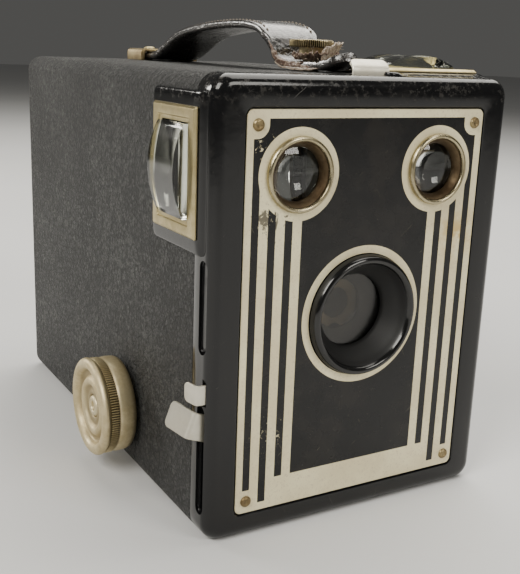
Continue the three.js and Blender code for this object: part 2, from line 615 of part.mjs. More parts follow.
// ---------------------------------------------------------------- finders
// Each finder is built with its axis along y through its group's origin and its window facing +z,
// at `reach` from the axis and `aside` of it. Turning the group a quarter about y makes the side
// finder.
function finder(name, x, reach, aside, turn) {
  const group = new THREE.Group();
  group.position.set(x, 0, FINDER_Z);
  group.rotation.y = turn;
  frontSection.add(group);

  add(group, `finder_bezel_${name}`, turned([
    [7.3, 0.15], [8.4, 0.15], [8.4, -0.5], [7.9, -1.1], [7.3, -1.1], [6.7, -0.4], [5.5, 1],
    [5.5, 2.3], [7.3, 2.3],
  ], 24), brass);
  add(group, `finder_objective_${name}`, turned([
    [0, 0.7], [2.9, 1], [5.35, 1.9], [5.35, 2.4], [2.9, 3.2], [0, 3.6],
  ], 24), glass);

  const top = reach - COVER_WALL - 0.3;
  const mirrorLine = (offset) => [
    [8.3 + offset, -8 - offset], [24.3 + offset, 8 - offset],
    [25 + offset, 7.3 - offset], [9 + offset, -8.7 - offset],
  ];
  add(group, `finder_housing_${name}`, join(
    cut(
      block(-10.6, 10.6, 4.6, 28, -11.3, top),
      block(-10, 10, 5.2, 27.4, -10.7, top + 1),
      rod('y', 7.4, 4, 6, 0, 0, 24),
    ),
    slab(mirrorLine(0.9), 'x', -10.2, 10.2),
  ), blackSteel);
  add(group, `finder_mirror_${name}`, slab(mirrorLine(0), 'x', -9, 9), mirrorGlass);

  const ear = reach + EAR_LIFT + EAR_SHEET;
  add(group, `finder_frame_${name}`, cut(
    slab([[-13.6, 5.8], [13.6, 5.8], [13.6, 26.8], [-13.6, 26.8]], 'z', ear + 0.05, ear + 0.85,
      0.35, 1),
    block(-10.4, 10.4, FINDER_DEPTH - 6.9, FINDER_DEPTH + 6.9, ear - 1, ear + 3),
  ), brass, [aside, 0, 0]);
  // window lens: a bar with a barrel top, arched along its length
  const bulge = 2.5;
  const half = 10.2;
  const radius = (half * half + bulge * bulge) / (2 * bulge);
  const spread = Math.asin(half / radius);
  const crown = new THREE.Shape();
  crown.moveTo(-half, ear - 1.5);
  crown.lineTo(half, ear - 1.5);
  crown.absarc(0, ear + 1.3 + bulge - radius, radius, Math.PI / 2 - spread, Math.PI / 2 + spread);
  add(group, `finder_window_${name}`, slab(crown, 'y', FINDER_DEPTH - 6.7, FINDER_DEPTH + 6.7),
    glass, [aside, 0, 0]);
}
finder('top', FINDER_X, HEIGHT - FINDER_Z, TOP_WINDOW_X - FINDER_X, 0);
finder('side', -FINDER_X, WIDTH / 2 - FINDER_X, 0, -Math.PI / 2);

export default camera;
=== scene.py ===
import math
import random

import bmesh
import bpy
from mathutils import Matrix, Vector, noise


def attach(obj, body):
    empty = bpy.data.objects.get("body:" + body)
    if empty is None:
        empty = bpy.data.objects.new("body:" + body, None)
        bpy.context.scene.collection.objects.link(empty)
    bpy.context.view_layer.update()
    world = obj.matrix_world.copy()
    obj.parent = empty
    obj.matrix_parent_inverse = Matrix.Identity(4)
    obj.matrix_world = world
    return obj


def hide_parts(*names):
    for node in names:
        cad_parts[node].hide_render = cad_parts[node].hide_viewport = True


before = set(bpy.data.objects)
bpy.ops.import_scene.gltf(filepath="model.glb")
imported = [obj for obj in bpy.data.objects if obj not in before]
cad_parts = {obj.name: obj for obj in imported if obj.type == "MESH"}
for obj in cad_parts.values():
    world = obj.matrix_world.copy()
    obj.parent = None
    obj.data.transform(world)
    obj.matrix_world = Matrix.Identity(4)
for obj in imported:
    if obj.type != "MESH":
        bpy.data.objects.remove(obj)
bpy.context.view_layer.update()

# ---------------------------------------------------------------- dimensions, in millimetres
# x runs across the front, y is the depth behind the front face and z the height above the base.
MM = 0.001
WIDTH, HEIGHT, DEPTH = 80.0, 105.0, 135.0
CORNER = 4.5
SKIN = 0.5
CASE_FRONT, CASE_REAR = 8.03, 130.4
LENS_Z = 50.5
FINDER_X, FINDER_Z = 19.0, 84.0
FINDER_DEPTH = 16.3
WINDER_Y, WINDER_Z = 49.0, 17.5
LATCH_Y = 27.5
TOP_WINDOW_X = 19.8
RIVETS = [(x, z) for x in (-29.6, 29.6) for z in (8.9, 94.7)]
RUBY_X, RUBY_Z = 17.0, 52.0
LEVER_X, LEVER_Z, LEVER_REST = -17, 19.5, 20.3  # the shutter lever's pivot and resting angle
DISC_X, DISC_Z = -8, 40  # the shutter disc's pivot
STOP_DROP = 8  # from the large stop down to the small one
EAR_TOP = 105.9  # outer face of the top ear
EAR_SIDE = 40.9  # and of the side ear, measured from the middle


def at(x, y, z):
    return Vector((x, y - DEPTH / 2, z)) * MM


def facing(cx, cz):
    """Places (u, v, t) with t running back from the front face."""
    return lambda u, v, t: at(cx + u, t, cz + v)


def upright(cx, cy):
    return lambda u, v, t: at(cx + u, cy + v, t)


def outward(cy, cz):
    """t runs out of the left side, from the middle of the case."""
    return lambda u, v, t: at(-t, cy + u, cz + v)


# ---------------------------------------------------------------- node materials
class Look:
    """A Principled material whose coordinates are millimetres in the piece's own frame."""

    def __init__(self, name, color=(0.5, 0.5, 0.5), rough=0.4, metal=0.0, **fixed):
        self.mat = bpy.data.materials.new(name)
        self.mat.use_nodes = True
        self.tree = self.mat.node_tree
        self.shader = self.tree.nodes["Principled BSDF"]
        self.shader.inputs["Base Color"].default_value = (*color, 1)
        self.shader.inputs["Roughness"].default_value = rough
        self.shader.inputs["Metallic"].default_value = metal
        for socket, value in fixed.items():
            self.shader.inputs[socket.replace("_", " ")].default_value = value
        coords = self.tree.nodes.new("ShaderNodeTexCoord").outputs["Object"]
        self.mm = self.node("VectorMath", {0: coords, "Scale": 1 / MM}, operation="SCALE")[0]
        self.x, self.y, self.z = self.node("SeparateXYZ", {0: self.mm})[:3]

    def node(self, kind, inputs, **settings):
        node = self.tree.nodes.new("ShaderNode" + kind)
        for key, value in settings.items():
            setattr(node, key, value)
        for key, value in inputs.items():
            if isinstance(value, bpy.types.NodeSocket):
                self.tree.links.new(value, node.inputs[key])
            elif value is not None:
                node.inputs[key].default_value = value
        return node.outputs

    def op(self, kind, a, b=None):
        return self.node("Math", {0: a, 1: b}, operation=kind)[0]

    def times(self, a, b):
        return self.op("MULTIPLY", a, b)

    def plus(self, a, b, share=None):
        """a + b, or a + b * share."""
        return self.op("ADD", a, b if share is None else self.times(b, share))

    def minus(self, a, b, share=None):
        """a - b, or a - b * share."""
        return self.op("SUBTRACT", a, b if share is None else self.times(b, share))

    def hypot(self, a, b):
        return self.op("SQRT", self.plus(self.times(a, a), self.times(b, b)))

    def stretch(self, x=1, y=1, z=1):
        return self.node("VectorMath", {0: self.mm, 1: (x, y, z)}, operation="MULTIPLY")[0]

    def noise(self, size, detail=3, rough=0.55, distortion=0.0, where=None):
        return self.node("TexNoise", {
            "Vector": where or self.mm, "Scale": 1 / size, "Detail": detail,
            "Roughness": rough, "Distortion": distortion})["Fac"]

    def cells(self, size, where):
        """Distance to the nearest border between cells."""
        return self.node("TexVoronoi", {"Vector": where, "Scale": 1 / size},
                         feature="DISTANCE_TO_EDGE")["Distance"]

    def warped(self, size, amount):
        swirl = self.node("TexNoise", {"Vector": self.mm, "Scale": 1 / size, "Detail": 2})["Color"]
        offset = self.node("VectorMath", {0: swirl, 1: (0.5, 0.5, 0.5)}, operation="SUBTRACT")[0]
        scaled = self.node("VectorMath", {0: offset, "Scale": amount}, operation="SCALE")[0]
        return self.node("VectorMath", {0: self.mm, 1: scaled}, operation="ADD")[0]

    def rise(self, value, low, high, to_low=0.0, to_high=1.0):
        return self.node("MapRange", {
            "Value": value, "From Min": low, "From Max": high,
            "To Min": to_low, "To Max": to_high}, interpolation_type="SMOOTHSTEP")[0]

    def patches(self, low, high, size, detail, rough, distortion=0.0):
        """Noise turned into soft patches: 0 below low and 1 above high."""
        return self.rise(self.noise(size, detail, rough, distortion), low, high)

    def between(self, value, low, low_in, high_in, high):
        """1 from low_in to high_in, falling to 0 at low and high."""
        return self.all(self.rise(value, low, low_in), self.rise(value, high, high_in))

    def edge(self, value, at_value=0.0, soft=0.05):
        """1 where value is above at_value, with a soft printed edge."""
        return self.rise(value, at_value - soft, at_value + soft)

    def any(self, *masks):
        result = masks[0]
        for mask in masks[1:]:
            result = self.op("MAXIMUM", result, mask)
        return result

    def all(self, *masks):
        result = masks[0]
        for mask in masks[1:]:
            result = self.times(result, mask)
        return result

    def mix(self, fac, a, b, share=None):
        """From colour a to b as fac, or fac * share, goes from 0 to 1."""
        if share is not None:
            fac = self.times(fac, share)
        a, b = (tuple(c) + (1,) if isinstance(c, tuple) else c for c in (a, b))
        return self.node("Mix", {0: fac, 6: a, 7: b}, data_type="RGBA")[2]

    def blend(self, fac, a, b):
        return self.node("Mix", {0: fac, 2: a, 3: b}, data_type="FLOAT")[0]

    def bump(self, height, depth, normal=None):
        """Height is 0 to 1 for depth millimetres."""
        return self.node("Bump", {
            "Height": height, "Distance": depth * MM, "Normal": normal})[0]

    def set(self, **sockets):
        for name, value in sockets.items():
            self.tree.links.new(value, self.shader.inputs[name.replace("_", " ")])
        return self.mat

    def near(self, x, y, z, radius):
        """1 at a place, falling to 0 at radius."""
        place = (x, y - DEPTH / 2, z)
        gap = self.node("VectorMath", {0: self.mm, 1: place}, operation="DISTANCE")["Value"]
        return self.rise(gap, 0, radius, 1, 0)

    def scratches(self, size, length, cut):
        """Sparse hairlines in two directions."""
        lines = []
        for turn in (0.5, -0.9):
            turned = self.node("VectorRotate", {"Vector": self.mm, "Angle": turn},
                               rotation_type="Y_AXIS")[0]
            long = self.node("VectorMath", {0: turned, 1: (1, 1, size / length)},
                             operation="MULTIPLY")[0]
            lines.append(self.rise(self.noise(size, 2, 0.5, 0.3, long), cut, cut + 0.03))
        return self.any(*lines)


def leatherette_look():
    look = Look("leatherette", rough=0.5)
    creases = look.rise(look.cells(1.5, look.warped(2.0, 1.8)), 0.0, 0.28)
    hills = look.noise(1.3, 4, 0.65, 0.9)
    folds = look.noise(4.5, 3, 0.6, 1.2)
    pores = look.noise(0.4, 2, 0.6)
    height = look.plus(look.times(creases, 0.35), hills, 0.9)
    height = look.plus(look.plus(height, pores, 0.45), folds, 0.5)
    patches = look.patches(0.38, 0.64, 22, 3, 0.6)
    worn = look.patches(0.58, 0.76, 7, 4, 0.7)
    crest = look.rise(height, 1.05, 1.5)
    lines = []
    for size in (2.4, 1.5):
        from_line = look.op("ABSOLUTE", look.minus(look.noise(size, 3, 0.6, 1.4), 0.5))
        lines.append(look.rise(from_line, 0.0, 0.045, 1, 0))
    wrinkles_and_sheen = look.all(look.any(*lines), look.patches(0.42, 0.56, 1.8, 3, 0.6))
    height = look.plus(height, wrinkles_and_sheen, 0.35)
    # painted shade: the grain's valleys are painted darker than its crests
    color = look.mix(look.times(crest, look.blend(patches, 0.55, 1.0)),
                     (0.0035, 0.0035, 0.0036), (0.027, 0.0275, 0.0265))
    color = look.mix(worn, color, (0.04, 0.04, 0.037), 0.3)
    # painted sheen: light lines along the wrinkles stand in for glints of light on the grain
    color = look.mix(wrinkles_and_sheen, color, (0.17, 0.175, 0.165), look.blend(patches, 0.22, 0.65))
    rough = look.plus(look.blend(crest, 0.55, 0.27), pores, 0.12)
    return look.set(Base_Color=color, Roughness=rough, Normal=look.bump(height, 1.1))


def enamel_look():
    look = Look("black_enamel", rough=0.18, Specular_IOR_Level=0.3, Coat_Weight=0.2,
                Coat_Roughness=0.08)
    orange_peel = look.noise(3.5, 2, 0.5)
    dust = look.patches(0.72, 0.78, 0.4, 2, 0.7)
    lines = look.scratches(0.22, 9, 0.74)
    rubbed = look.patches(0.55, 0.75, 9, 4, 0.65)
    top = look.all(look.rise(look.z, 97, 101), look.patches(0.5, 0.66, 1.6, 4, 0.7))
    color = look.mix(rubbed, (0.005, 0.005, 0.0055), (0.016, 0.0145, 0.013), 0.35)
    color = look.mix(look.any(dust, lines), color, (0.11, 0.105, 0.095), 0.45)
    color = look.mix(top, color, (0.055, 0.05, 0.043), 0.3)
    rough = look.plus(look.blend(rubbed, 0.13, 0.3), top, 0.25)
    normal = look.bump(orange_peel, 0.035)
    return look.set(Base_Color=color, Roughness=rough, Normal=look.bump(lines, -0.01, normal))


def hood_look():
    """Gloss black on the rim, dull inside the cone."""
    black = (0.006, 0.006, 0.006)
    look = Look("hood_black", black, 0.4)
    inside = look.rise(look.y, -1.7 - DEPTH / 2, -0.7 - DEPTH / 2)
    rubbed = look.patches(0.6, 0.72, 1.4, 5, 0.7)
    color = look.mix(rubbed, black, (0.05, 0.045, 0.038), 0.4)
    rough = look.plus(look.blend(inside, 0.12, 0.62), rubbed, 0.2)
    return look.set(Base_Color=color, Roughness=rough, Normal=look.bump(look.noise(1.2, 3), 0.02))


# the plate's black areas as (inner side, outer side, bottom) on each side of its middle
BLACK_AREAS = [(28.55, 31, 11.6), (24.3, 26.25, 7.9), (20.0, 22.0, 13.5), (-1, 17.65, 13.5),
               (-1, 31, FINDER_Z)]
PRINT_HALF, PRINT_TOP = 30.4, 96.0
PRINT_SHIFT = 0.2  # the print lies this far off the plate's middle
RIVET_PAD, FINDER_RING, LENS_RING = 2.9, 10.2, 16.6  # radii left bright


def litho_look():
    look = Look("printed_plate", rough=0.35, Specular_IOR_Level=0.3)
    side = look.op("ABSOLUTE", look.plus(look.x, PRINT_SHIFT))
    z = look.z
    finder = look.hypot(look.minus(look.op("ABSOLUTE", look.x), FINDER_X),
                        look.minus(z, FINDER_Z))
    lens = look.hypot(look.x, look.minus(z, LENS_Z))
    inside = look.all(look.edge(look.minus(PRINT_HALF, side)), look.edge(look.minus(PRINT_TOP, z)))
    black = look.any(*[
        look.all(look.edge(side, inner), look.edge(look.minus(outer, side)), look.edge(z, bottom))
        for inner, outer, bottom in BLACK_AREAS])
    rivet_x, rivet_z = RIVETS[-1]
    pad = look.hypot(look.op("MAXIMUM", look.minus(rivet_x, side), 0.0),
                     look.op("MAXIMUM", look.minus(rivet_z, z), 0.0))
    black = look.all(black, inside, look.edge(pad, RIVET_PAD), look.edge(finder, FINDER_RING),
                     look.edge(lens, LENS_RING))

    # chips through the black, heaviest beside the left finder and on the left stripes
    left = look.any(look.near(-28, 0, 91, 7), look.near(-27, 0, 75, 6), look.near(-25, 0, 24, 10))
    chips = look.edge(look.plus(look.noise(1.1, 5, 0.75, 0.4), left, 0.15), 0.725, 0.015)
    lines = look.scratches(0.2, 8, 0.765)
    black = look.all(black, look.minus(1.0, chips, 0.8), look.minus(1.0, lines, 0.2))
    # dark losses in the bright stripes
    streaks = look.noise(1.7, 5, 0.7, 0.8, look.stretch(1, 1, 0.45))
    loss = look.edge(look.plus(streaks, look.near(-26, 0, 74, 9), 0.27), 0.74, 0.02)
    cream = look.mix(look.patches(0.35, 0.65, 14, 3, 0.6), (0.82, 0.75, 0.50), (0.71, 0.63, 0.41))
    cream = look.mix(look.patches(0.5, 0.8, 0.5, 3, 0.7), cream, (0.56, 0.47, 0.32))
    stain = look.all(look.near(27, 0, 68, 9), look.patches(0.35, 0.6, 3, 3, 0.6))
    cream = look.mix(stain, cream, (0.55, 0.36, 0.10), 0.8)
    cream = look.mix(loss, cream, (0.05, 0.043, 0.038), 0.85)
    ink = look.mix(look.patches(0.4, 0.7, 8, 4, 0.6), (0.0075, 0.0075, 0.0078),
                   (0.014, 0.0128, 0.0118))
    color = look.mix(black, cream, ink)
    rough = look.blend(black, 0.42, look.rise(look.noise(6, 3, 0.6), 0.3, 0.8, 0.2, 0.34))
    height = look.plus(look.times(black, 0.6), look.noise(2.2, 3, 0.5), 0.4)
    return look.set(Base_Color=color, Roughness=rough, Metallic=look.minus(0.3, black, 0.3),
                    Normal=look.bump(height, 0.04))


def metal_look(name, bright, dull, stain, rough, grain=0.3, wear=0.5):
    look = Look(name, metal=1.0)
    cloud = look.patches(0.35, 0.7, 5, 4, 0.65)
    spots = look.patches(0.6, 0.74, 0.9, 5, 0.75, 0.5)
    lines = look.scratches(0.15, 5, 0.68)
    color = look.mix(spots, look.mix(cloud, bright, dull), stain, wear)
    height = look.minus(look.noise(grain, 3, 0.6), lines, 0.5)
    return look.set(Base_Color=color, Normal=look.bump(height, 0.018),
                    Roughness=look.plus(look.blend(cloud, rough, rough + 0.1), spots, 0.18))


def knob_look():
    """Nickel, darker in the dished face, with painted shade between the knurls and on the side next
    to the case.
    """
    look = Look("knob_nickel", metal=1.0)
    out = look.minus(-WIDTH / 2, look.x)
    radius = look.hypot(look.minus(look.z, WINDER_Z), look.minus(look.y, WINDER_Y - DEPTH / 2))
    hollow = look.all(look.between(out, 6.5, 7.5, 8.6, 9.5), look.rise(radius, 10.3, 9.9))
    # painted shade in the knurl grooves
    groove_shade = look.all(look.between(radius, 11.3, 11.8, 12.12, 12.44),
                       look.between(out, 5.6, 5.75, 8.3, 8.45))
    cloud = look.patches(0.35, 0.7, 4, 4, 0.65)
    spots = look.patches(0.6, 0.74, 0.8, 5, 0.75, 0.5)
    color = look.mix(cloud, (0.66, 0.57, 0.36), (0.54, 0.45, 0.27))
    # painted shade on the knob's side next to the case
    rear = look.rise(out, 3.4, 1.2)
    for mask, tone, share in (
            (hollow, (0.20, 0.15, 0.08), 0.55), (groove_shade, (0.07, 0.05, 0.03), 0.9),
            (rear, (0.22, 0.16, 0.09), 0.4), (spots, (0.25, 0.18, 0.10), 0.45)):
        color = look.mix(mask, color, tone, share)
    return look.set(Base_Color=color, Normal=look.bump(look.noise(0.4, 3), 0.03),
                    Roughness=look.plus(look.blend(cloud, 0.5, 0.6), spots, 0.15))


def screw_look():
    """Brass with painted shade between the knurls of the thumb screw."""
    look = Look("screw_brass", metal=1.0)
    radius = look.hypot(look.x, look.minus(look.y, LATCH_Y - DEPTH / 2))
    up = look.minus(look.z, HEIGHT)
    groove_shade = look.all(look.between(radius, 4.5, 4.85, 5.1, 5.34),
                       look.between(up, 5.6, 5.75, 7.3, 7.42))
    cloud = look.patches(0.35, 0.7, 3, 4, 0.65)
    spots = look.patches(0.58, 0.72, 0.7, 5, 0.75, 0.5)
    color = look.mix(cloud, (0.52, 0.44, 0.27), (0.36, 0.29, 0.16))
    color = look.mix(spots, color, (0.10, 0.06, 0.03), 0.6)
    # painted shade in the knurl grooves
    color = look.mix(groove_shade, color, (0.035, 0.025, 0.015), 0.92)
    return look.set(Base_Color=color, Normal=look.bump(look.noise(0.3, 3), 0.02),
                    Roughness=look.plus(look.blend(cloud, 0.34, 0.46), spots, 0.15))


def leather_look(name, base, worn, rough, crackle=0.12, polish=0.35):
    look = Look(name, rough=rough, Specular_IOR_Level=0.5 + 0.5 * polish, Coat_Weight=polish,
                Coat_Roughness=0.2)
    cracks = look.rise(look.cells(1.6, look.warped(3, 1.8)), 0.0, 0.12)
    folds = look.noise(2.4, 4, 0.6, 0.7, look.stretch(0.5, 1.4, 1.4))
    rub = look.patches(0.52, 0.7, 4.5, 4, 0.7)
    color = look.mix(rub, base, worn, 0.6)
    color = look.mix(look.minus(1.0, cracks), color, worn, 0.5)
    height = look.plus(look.times(cracks, 0.4), folds, 0.9)
    return look.set(Base_Color=color, Roughness=look.plus(rough, rub, 0.2),
                    Normal=look.bump(height, crackle))


def glass_look(name, tint, rough, dirt):
    look = Look(name, tint, rough, Transmission_Weight=1.0, IOR=1.5)
    haze = look.patches(0.45, 0.8, 2.6, 5, 0.7)
    color = look.mix(haze, tint, (0.5, 0.47, 0.4), dirt)
    return look.set(Base_Color=color, Roughness=look.rise(haze, 0, 1, rough, rough + dirt * 0.3))


def black_steel_look():
    look = Look("black_steel", rough=0.5)
    cloud = look.noise(12, 4, 0.6)
    rub = look.patches(0.62, 0.74, 2.5, 5, 0.7)
    color = look.mix(look.rise(cloud, 0.35, 0.65), (0.010, 0.010, 0.010), (0.019, 0.018, 0.017))
    color = look.mix(rub, color, (0.07, 0.066, 0.06), 0.6)
    return look.set(Base_Color=color, Roughness=look.plus(0.32, cloud, 0.3),
                    Normal=look.bump(look.noise(0.5, 3, 0.6), 0.02))


def mirror_look():
    silver = (0.86, 0.86, 0.84)
    look = Look("silvered_glass", silver, 0.03, 1.0)
    spots = look.patches(0.62, 0.72, 0.8, 5, 0.75)
    color = look.mix(spots, silver, (0.3, 0.27, 0.2), 0.6)
    return look.set(Base_Color=color, Roughness=look.rise(spots, 0, 1, 0.03, 0.35))


def thread_look():
    look = Look("thread", (0.30, 0.27, 0.22), 0.8)
    twist = look.noise(0.25, 2, 0.5)
    color = look.mix(twist, (0.07, 0.055, 0.045), (0.26, 0.22, 0.17))
    return look.set(Base_Color=color, Normal=look.bump(twist, 0.05))


LOOKS = {
    "enamel": enamel_look(),
    "leatherette": leatherette_look(),
    "litho": litho_look(),
    "hood": hood_look(),
    "knob": knob_look(),
    "screw": screw_look(),
    "black_steel": black_steel_look(),
    "mirror": mirror_look(),
    "thread": thread_look(),
    "brass": metal_look("aged_brass", (0.53, 0.45, 0.25), (0.40, 0.33, 0.17),
                        (0.13, 0.075, 0.03), 0.34, wear=0.75),
    "pale_brass": metal_look("pale_brass", (0.42, 0.37, 0.24), (0.27, 0.23, 0.14),
                             (0.08, 0.05, 0.025), 0.24, wear=0.8),
    "nickel": metal_look("aged_nickel", (0.70, 0.62, 0.42), (0.60, 0.52, 0.34),
                         (0.32, 0.24, 0.13), 0.48, grain=0.45, wear=0.4),
    "bronze": metal_look("dark_bronze", (0.30, 0.24, 0.13), (0.17, 0.12, 0.06),
                         (0.06, 0.035, 0.015), 0.4, wear=0.8),
    "tarnish": metal_look("tarnished_brass", (0.12, 0.088, 0.052), (0.055, 0.036, 0.02),
                          (0.03, 0.018, 0.01), 0.55, grain=0.6, wear=0.9),
    "tab": metal_look("bright_nickel", (0.70, 0.67, 0.57), (0.62, 0.58, 0.48),
                      (0.42, 0.35, 0.25), 0.42, wear=0.3),
    "steel": metal_look("dull_steel", (0.34, 0.34, 0.35), (0.24, 0.24, 0.25),
                        (0.10, 0.06, 0.035), 0.42),
    "leather": leather_look("polished_leather", (0.010, 0.0085, 0.0075), (0.045, 0.033, 0.025),
                            0.24, 0.16, 0.95),
    "torn": leather_look("torn_leather", (0.13, 0.075, 0.05), (0.52, 0.42, 0.31), 0.6, 0.3),
    "pale_leather_and_highlight": leather_look("pale_leather_and_highlight", (0.30, 0.23, 0.17), (0.62, 0.55, 0.44), 0.55,
                                 0.25),
    "glass": glass_look("clear_glass", (0.93, 0.95, 0.93), 0.015, 0.12),
    "window_glass": glass_look("window_glass", (0.66, 0.68, 0.60), 0.09, 0.25),
    # painted shade: the lens glass is tinted dark, standing for the shaded inside of the camera
    "dim_glass": glass_look("lens_glass", (0.30, 0.28, 0.25), 0.14, 0.3),
    "ruby": glass_look("ruby_sheet", (0.42, 0.005, 0.005), 0.08, 0.1),
}


# ---------------------------------------------------------------- mesh building
def add_object(name, bm):
    bmesh.ops.recalc_face_normals(bm, faces=bm.faces)
    mesh = bpy.data.meshes.new(name)
    bm.to_mesh(mesh)
    bm.free()
    obj = bpy.data.objects.new(name, mesh)
    bpy.context.scene.collection.objects.link(obj)
    return obj


def piece(name, bm, look, body, stands_for=(), sharp=35):
    obj = add_object(name, bm)
    obj.data.materials.append(LOOKS[look])
    smooth(obj, sharp)
    if stands_for:
        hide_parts(*stands_for)
    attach(obj, body)
    return obj


def smooth(obj, sharp):
    obj.data.shade_smooth()
    obj.data.set_sharp_from_angle(angle=math.radians(sharp))


def rounded(points, radius, closed=True, steps=4):
    """The polygon with its corners turned into small arcs."""
    count = len(points)
    result = []
    for i, corner in enumerate(points):
        corner = Vector(corner)
        if not closed and i in (0, count - 1):
            result.append(tuple(corner))
            continue
        before = Vector(points[i - 1]) - corner
        after = Vector(points[(i + 1) % count]) - corner
        r = radius[i] if isinstance(radius, (list, tuple)) else radius
        a = corner + before.normalized() * min(r, before.length * 0.45)
        b = corner + after.normalized() * min(r, after.length * 0.45)
        if r == 0:
            result.append(tuple(corner))
            continue
        for k in range(steps + 1):
            t = k / steps
            result.append(tuple(a * (1 - t) ** 2 + corner * 2 * t * (1 - t) + b * t ** 2))
    return result


def box_outline(x0, x1, z0, z1, radius, steps=8, along=()):
    """A rounded rectangle. along lists shares of each straight run that get a point too."""
    arcs = []
    for cx, cz, start in ((x1, z1, 0), (x0, z1, 90), (x0, z0, 180), (x1, z0, 270)):
        px = cx - math.copysign(radius, cx - (x0 + x1) / 2)
        pz = cz - math.copysign(radius, cz - (z0 + z1) / 2)
        arcs.append([(px + radius * math.cos(a), pz + radius * math.sin(a))
                     for a in (math.radians(start + 90 * k / steps) for k in range(steps + 1))])
    points = []
    for arc, following in zip(arcs, arcs[1:] + arcs[:1]):
        points += arc
        points += [tuple(Vector(arc[-1]).lerp(Vector(following[0]), share)) for share in along]
    return points


def case_ring(inset, radius=None):
    radius = max(CORNER - inset, 1.2) if radius is None else radius
    half = WIDTH / 2 - inset
    return box_outline(-half, half, inset, HEIGHT - inset, radius)


def loft(rings, around=True, caps=False):
    """Joins rings of points, each a list of vectors of one length. around joins last to first."""
    bm = bmesh.new()
    rows = [[bm.verts.new(p) for p in ring] for ring in rings]
    count = len(rows[0])
    pairs = list(zip(rows, rows[1:] + rows[:1])) if around else list(zip(rows, rows[1:]))
    for a, b in pairs:
        for i in range(count):
            j = (i + 1) % count
            bm.faces.new((a[i], a[j], b[j], b[i]))
    if caps:
        bm.faces.new(rows[0])
        bm.faces.new(list(reversed(rows[-1])))
    return bm


def turned(profile, place, steps=96, knurl=None):
    """A lathe body from a closed profile of (radius, t). knurl is (teeth, depth, low t, high t)."""
    bm = bmesh.new()
    rows = []
    for r, t in profile:
        if r < 1e-6:
            rows.append([bm.verts.new(place(0, 0, t))])
            continue
        row = []
        for k in range(steps):
            a = 2 * math.pi * k / steps
            radius = r
            if knurl and knurl[2] <= t <= knurl[3]:
                radius -= knurl[1] * (0.5 + 0.5 * math.cos(knurl[0] * a))
            row.append(bm.verts.new(place(radius * math.cos(a), radius * math.sin(a), t)))
        rows.append(row)
    for a, b in zip(rows, rows[1:] + rows[:1]):
        if len(a) == 1 and len(b) == 1:
            continue
        for k in range(steps):
            j = (k + 1) % steps
            quad = [a[k % len(a)], a[j % len(a)], b[j % len(b)], b[k % len(b)]]
            bm.faces.new(dict.fromkeys(quad))
    return bm


def slab(outline, place, low, high, bevel=0.0):
    """An outline of (u, v) pushed from t=low to t=high with rounded rims."""
    bm = bmesh.new()
    bottom = [bm.verts.new(place(u, v, low)) for u, v in outline]
    top = [bm.verts.new(place(u, v, high)) for u, v in outline]
    count = len(outline)
    caps = [bm.faces.new(bottom), bm.faces.new(list(reversed(top)))]
    for i in range(count):
        j = (i + 1) % count
        bm.faces.new((bottom[i], bottom[j], top[j], top[i]))
    if bevel:
        rims = list({e for cap in caps for e in cap.edges})
        bmesh.ops.bevel(bm, geom=rims, offset=bevel * MM, segments=3, profile=0.5,
                        affect="EDGES", clamp_overlap=True)
    return bm


def cutter(bm):
    return add_object("cutter", bm)


def carve(obj, cutters, sharp=35):
    for tool in cutters:
        cut = obj.modifiers.new("carve", "BOOLEAN")
        cut.operation = "DIFFERENCE"
        cut.solver = "EXACT"
        cut.object = tool
    bpy.context.view_layer.update()
    graph = bpy.context.evaluated_depsgraph_get()
    carved = bpy.data.meshes.new_from_object(obj.evaluated_get(graph))
    obj.modifiers.clear()
    obj.data = carved
    for tool in cutters:
        bpy.data.objects.remove(tool)
    smooth(obj, sharp)


def block(x0, x1, y0, y1, z0, z1):
    return cutter(slab([(x0, z0), (x1, z0), (x1, z1), (x0, z1)], facing(0, 0), y0, y1))


def circle(cx, cz, radius, steps=64):
    return [(cx + radius * math.cos(a), cz + radius * math.sin(a))
            for a in (2 * math.pi * k / steps for k in range(steps))]


def drill(place, radius, low, high, steps=48):
    return cutter(slab(circle(0, 0, radius, steps), place, low, high))


def ring_plate(outer, inner, place, levels):
    """A frame: levels are (share, t) with share 0 on the outer outline and 1 on the inner one."""
    rings = [[place(*(Vector(o).lerp(Vector(i), share)), t) for o, i in zip(outer, inner)]
             for share, t in levels]
    return loft(rings)


# ---------------------------------------------------------------- case
def y_ring(outline, y):
    return [at(x, y, z) for x, z in outline]


def wrap_skin():
    rings = [
        y_ring(case_ring(0), CASE_FRONT),
        *[y_ring(case_ring(0), y) for y in (40, 75, 105)], y_ring(case_ring(0), CASE_REAR),
        y_ring(case_ring(SKIN), CASE_REAR), y_ring(case_ring(SKIN), CASE_FRONT + 0.6)]
    skin = piece("case_covering", loft(rings), "leatherette", "case",
                 ("leatherette_wrap", "leatherette_base"))
    carve(skin, [
        block(TOP_WINDOW_X - 11.2, TOP_WINDOW_X + 11.2, 0, 24.6, HEIGHT - 5, HEIGHT + 1),
        block(-WIDTH / 2 - 1, 5 - WIDTH / 2, 0, 24.6, FINDER_Z - 11.2, FINDER_Z + 11.2),
        drill(outward(WINDER_Y, WINDER_Z), 4.9, 34, 40),
        drill(upright(0, LATCH_Y), 2.4, HEIGHT - 5, HEIGHT + 1),
    ])


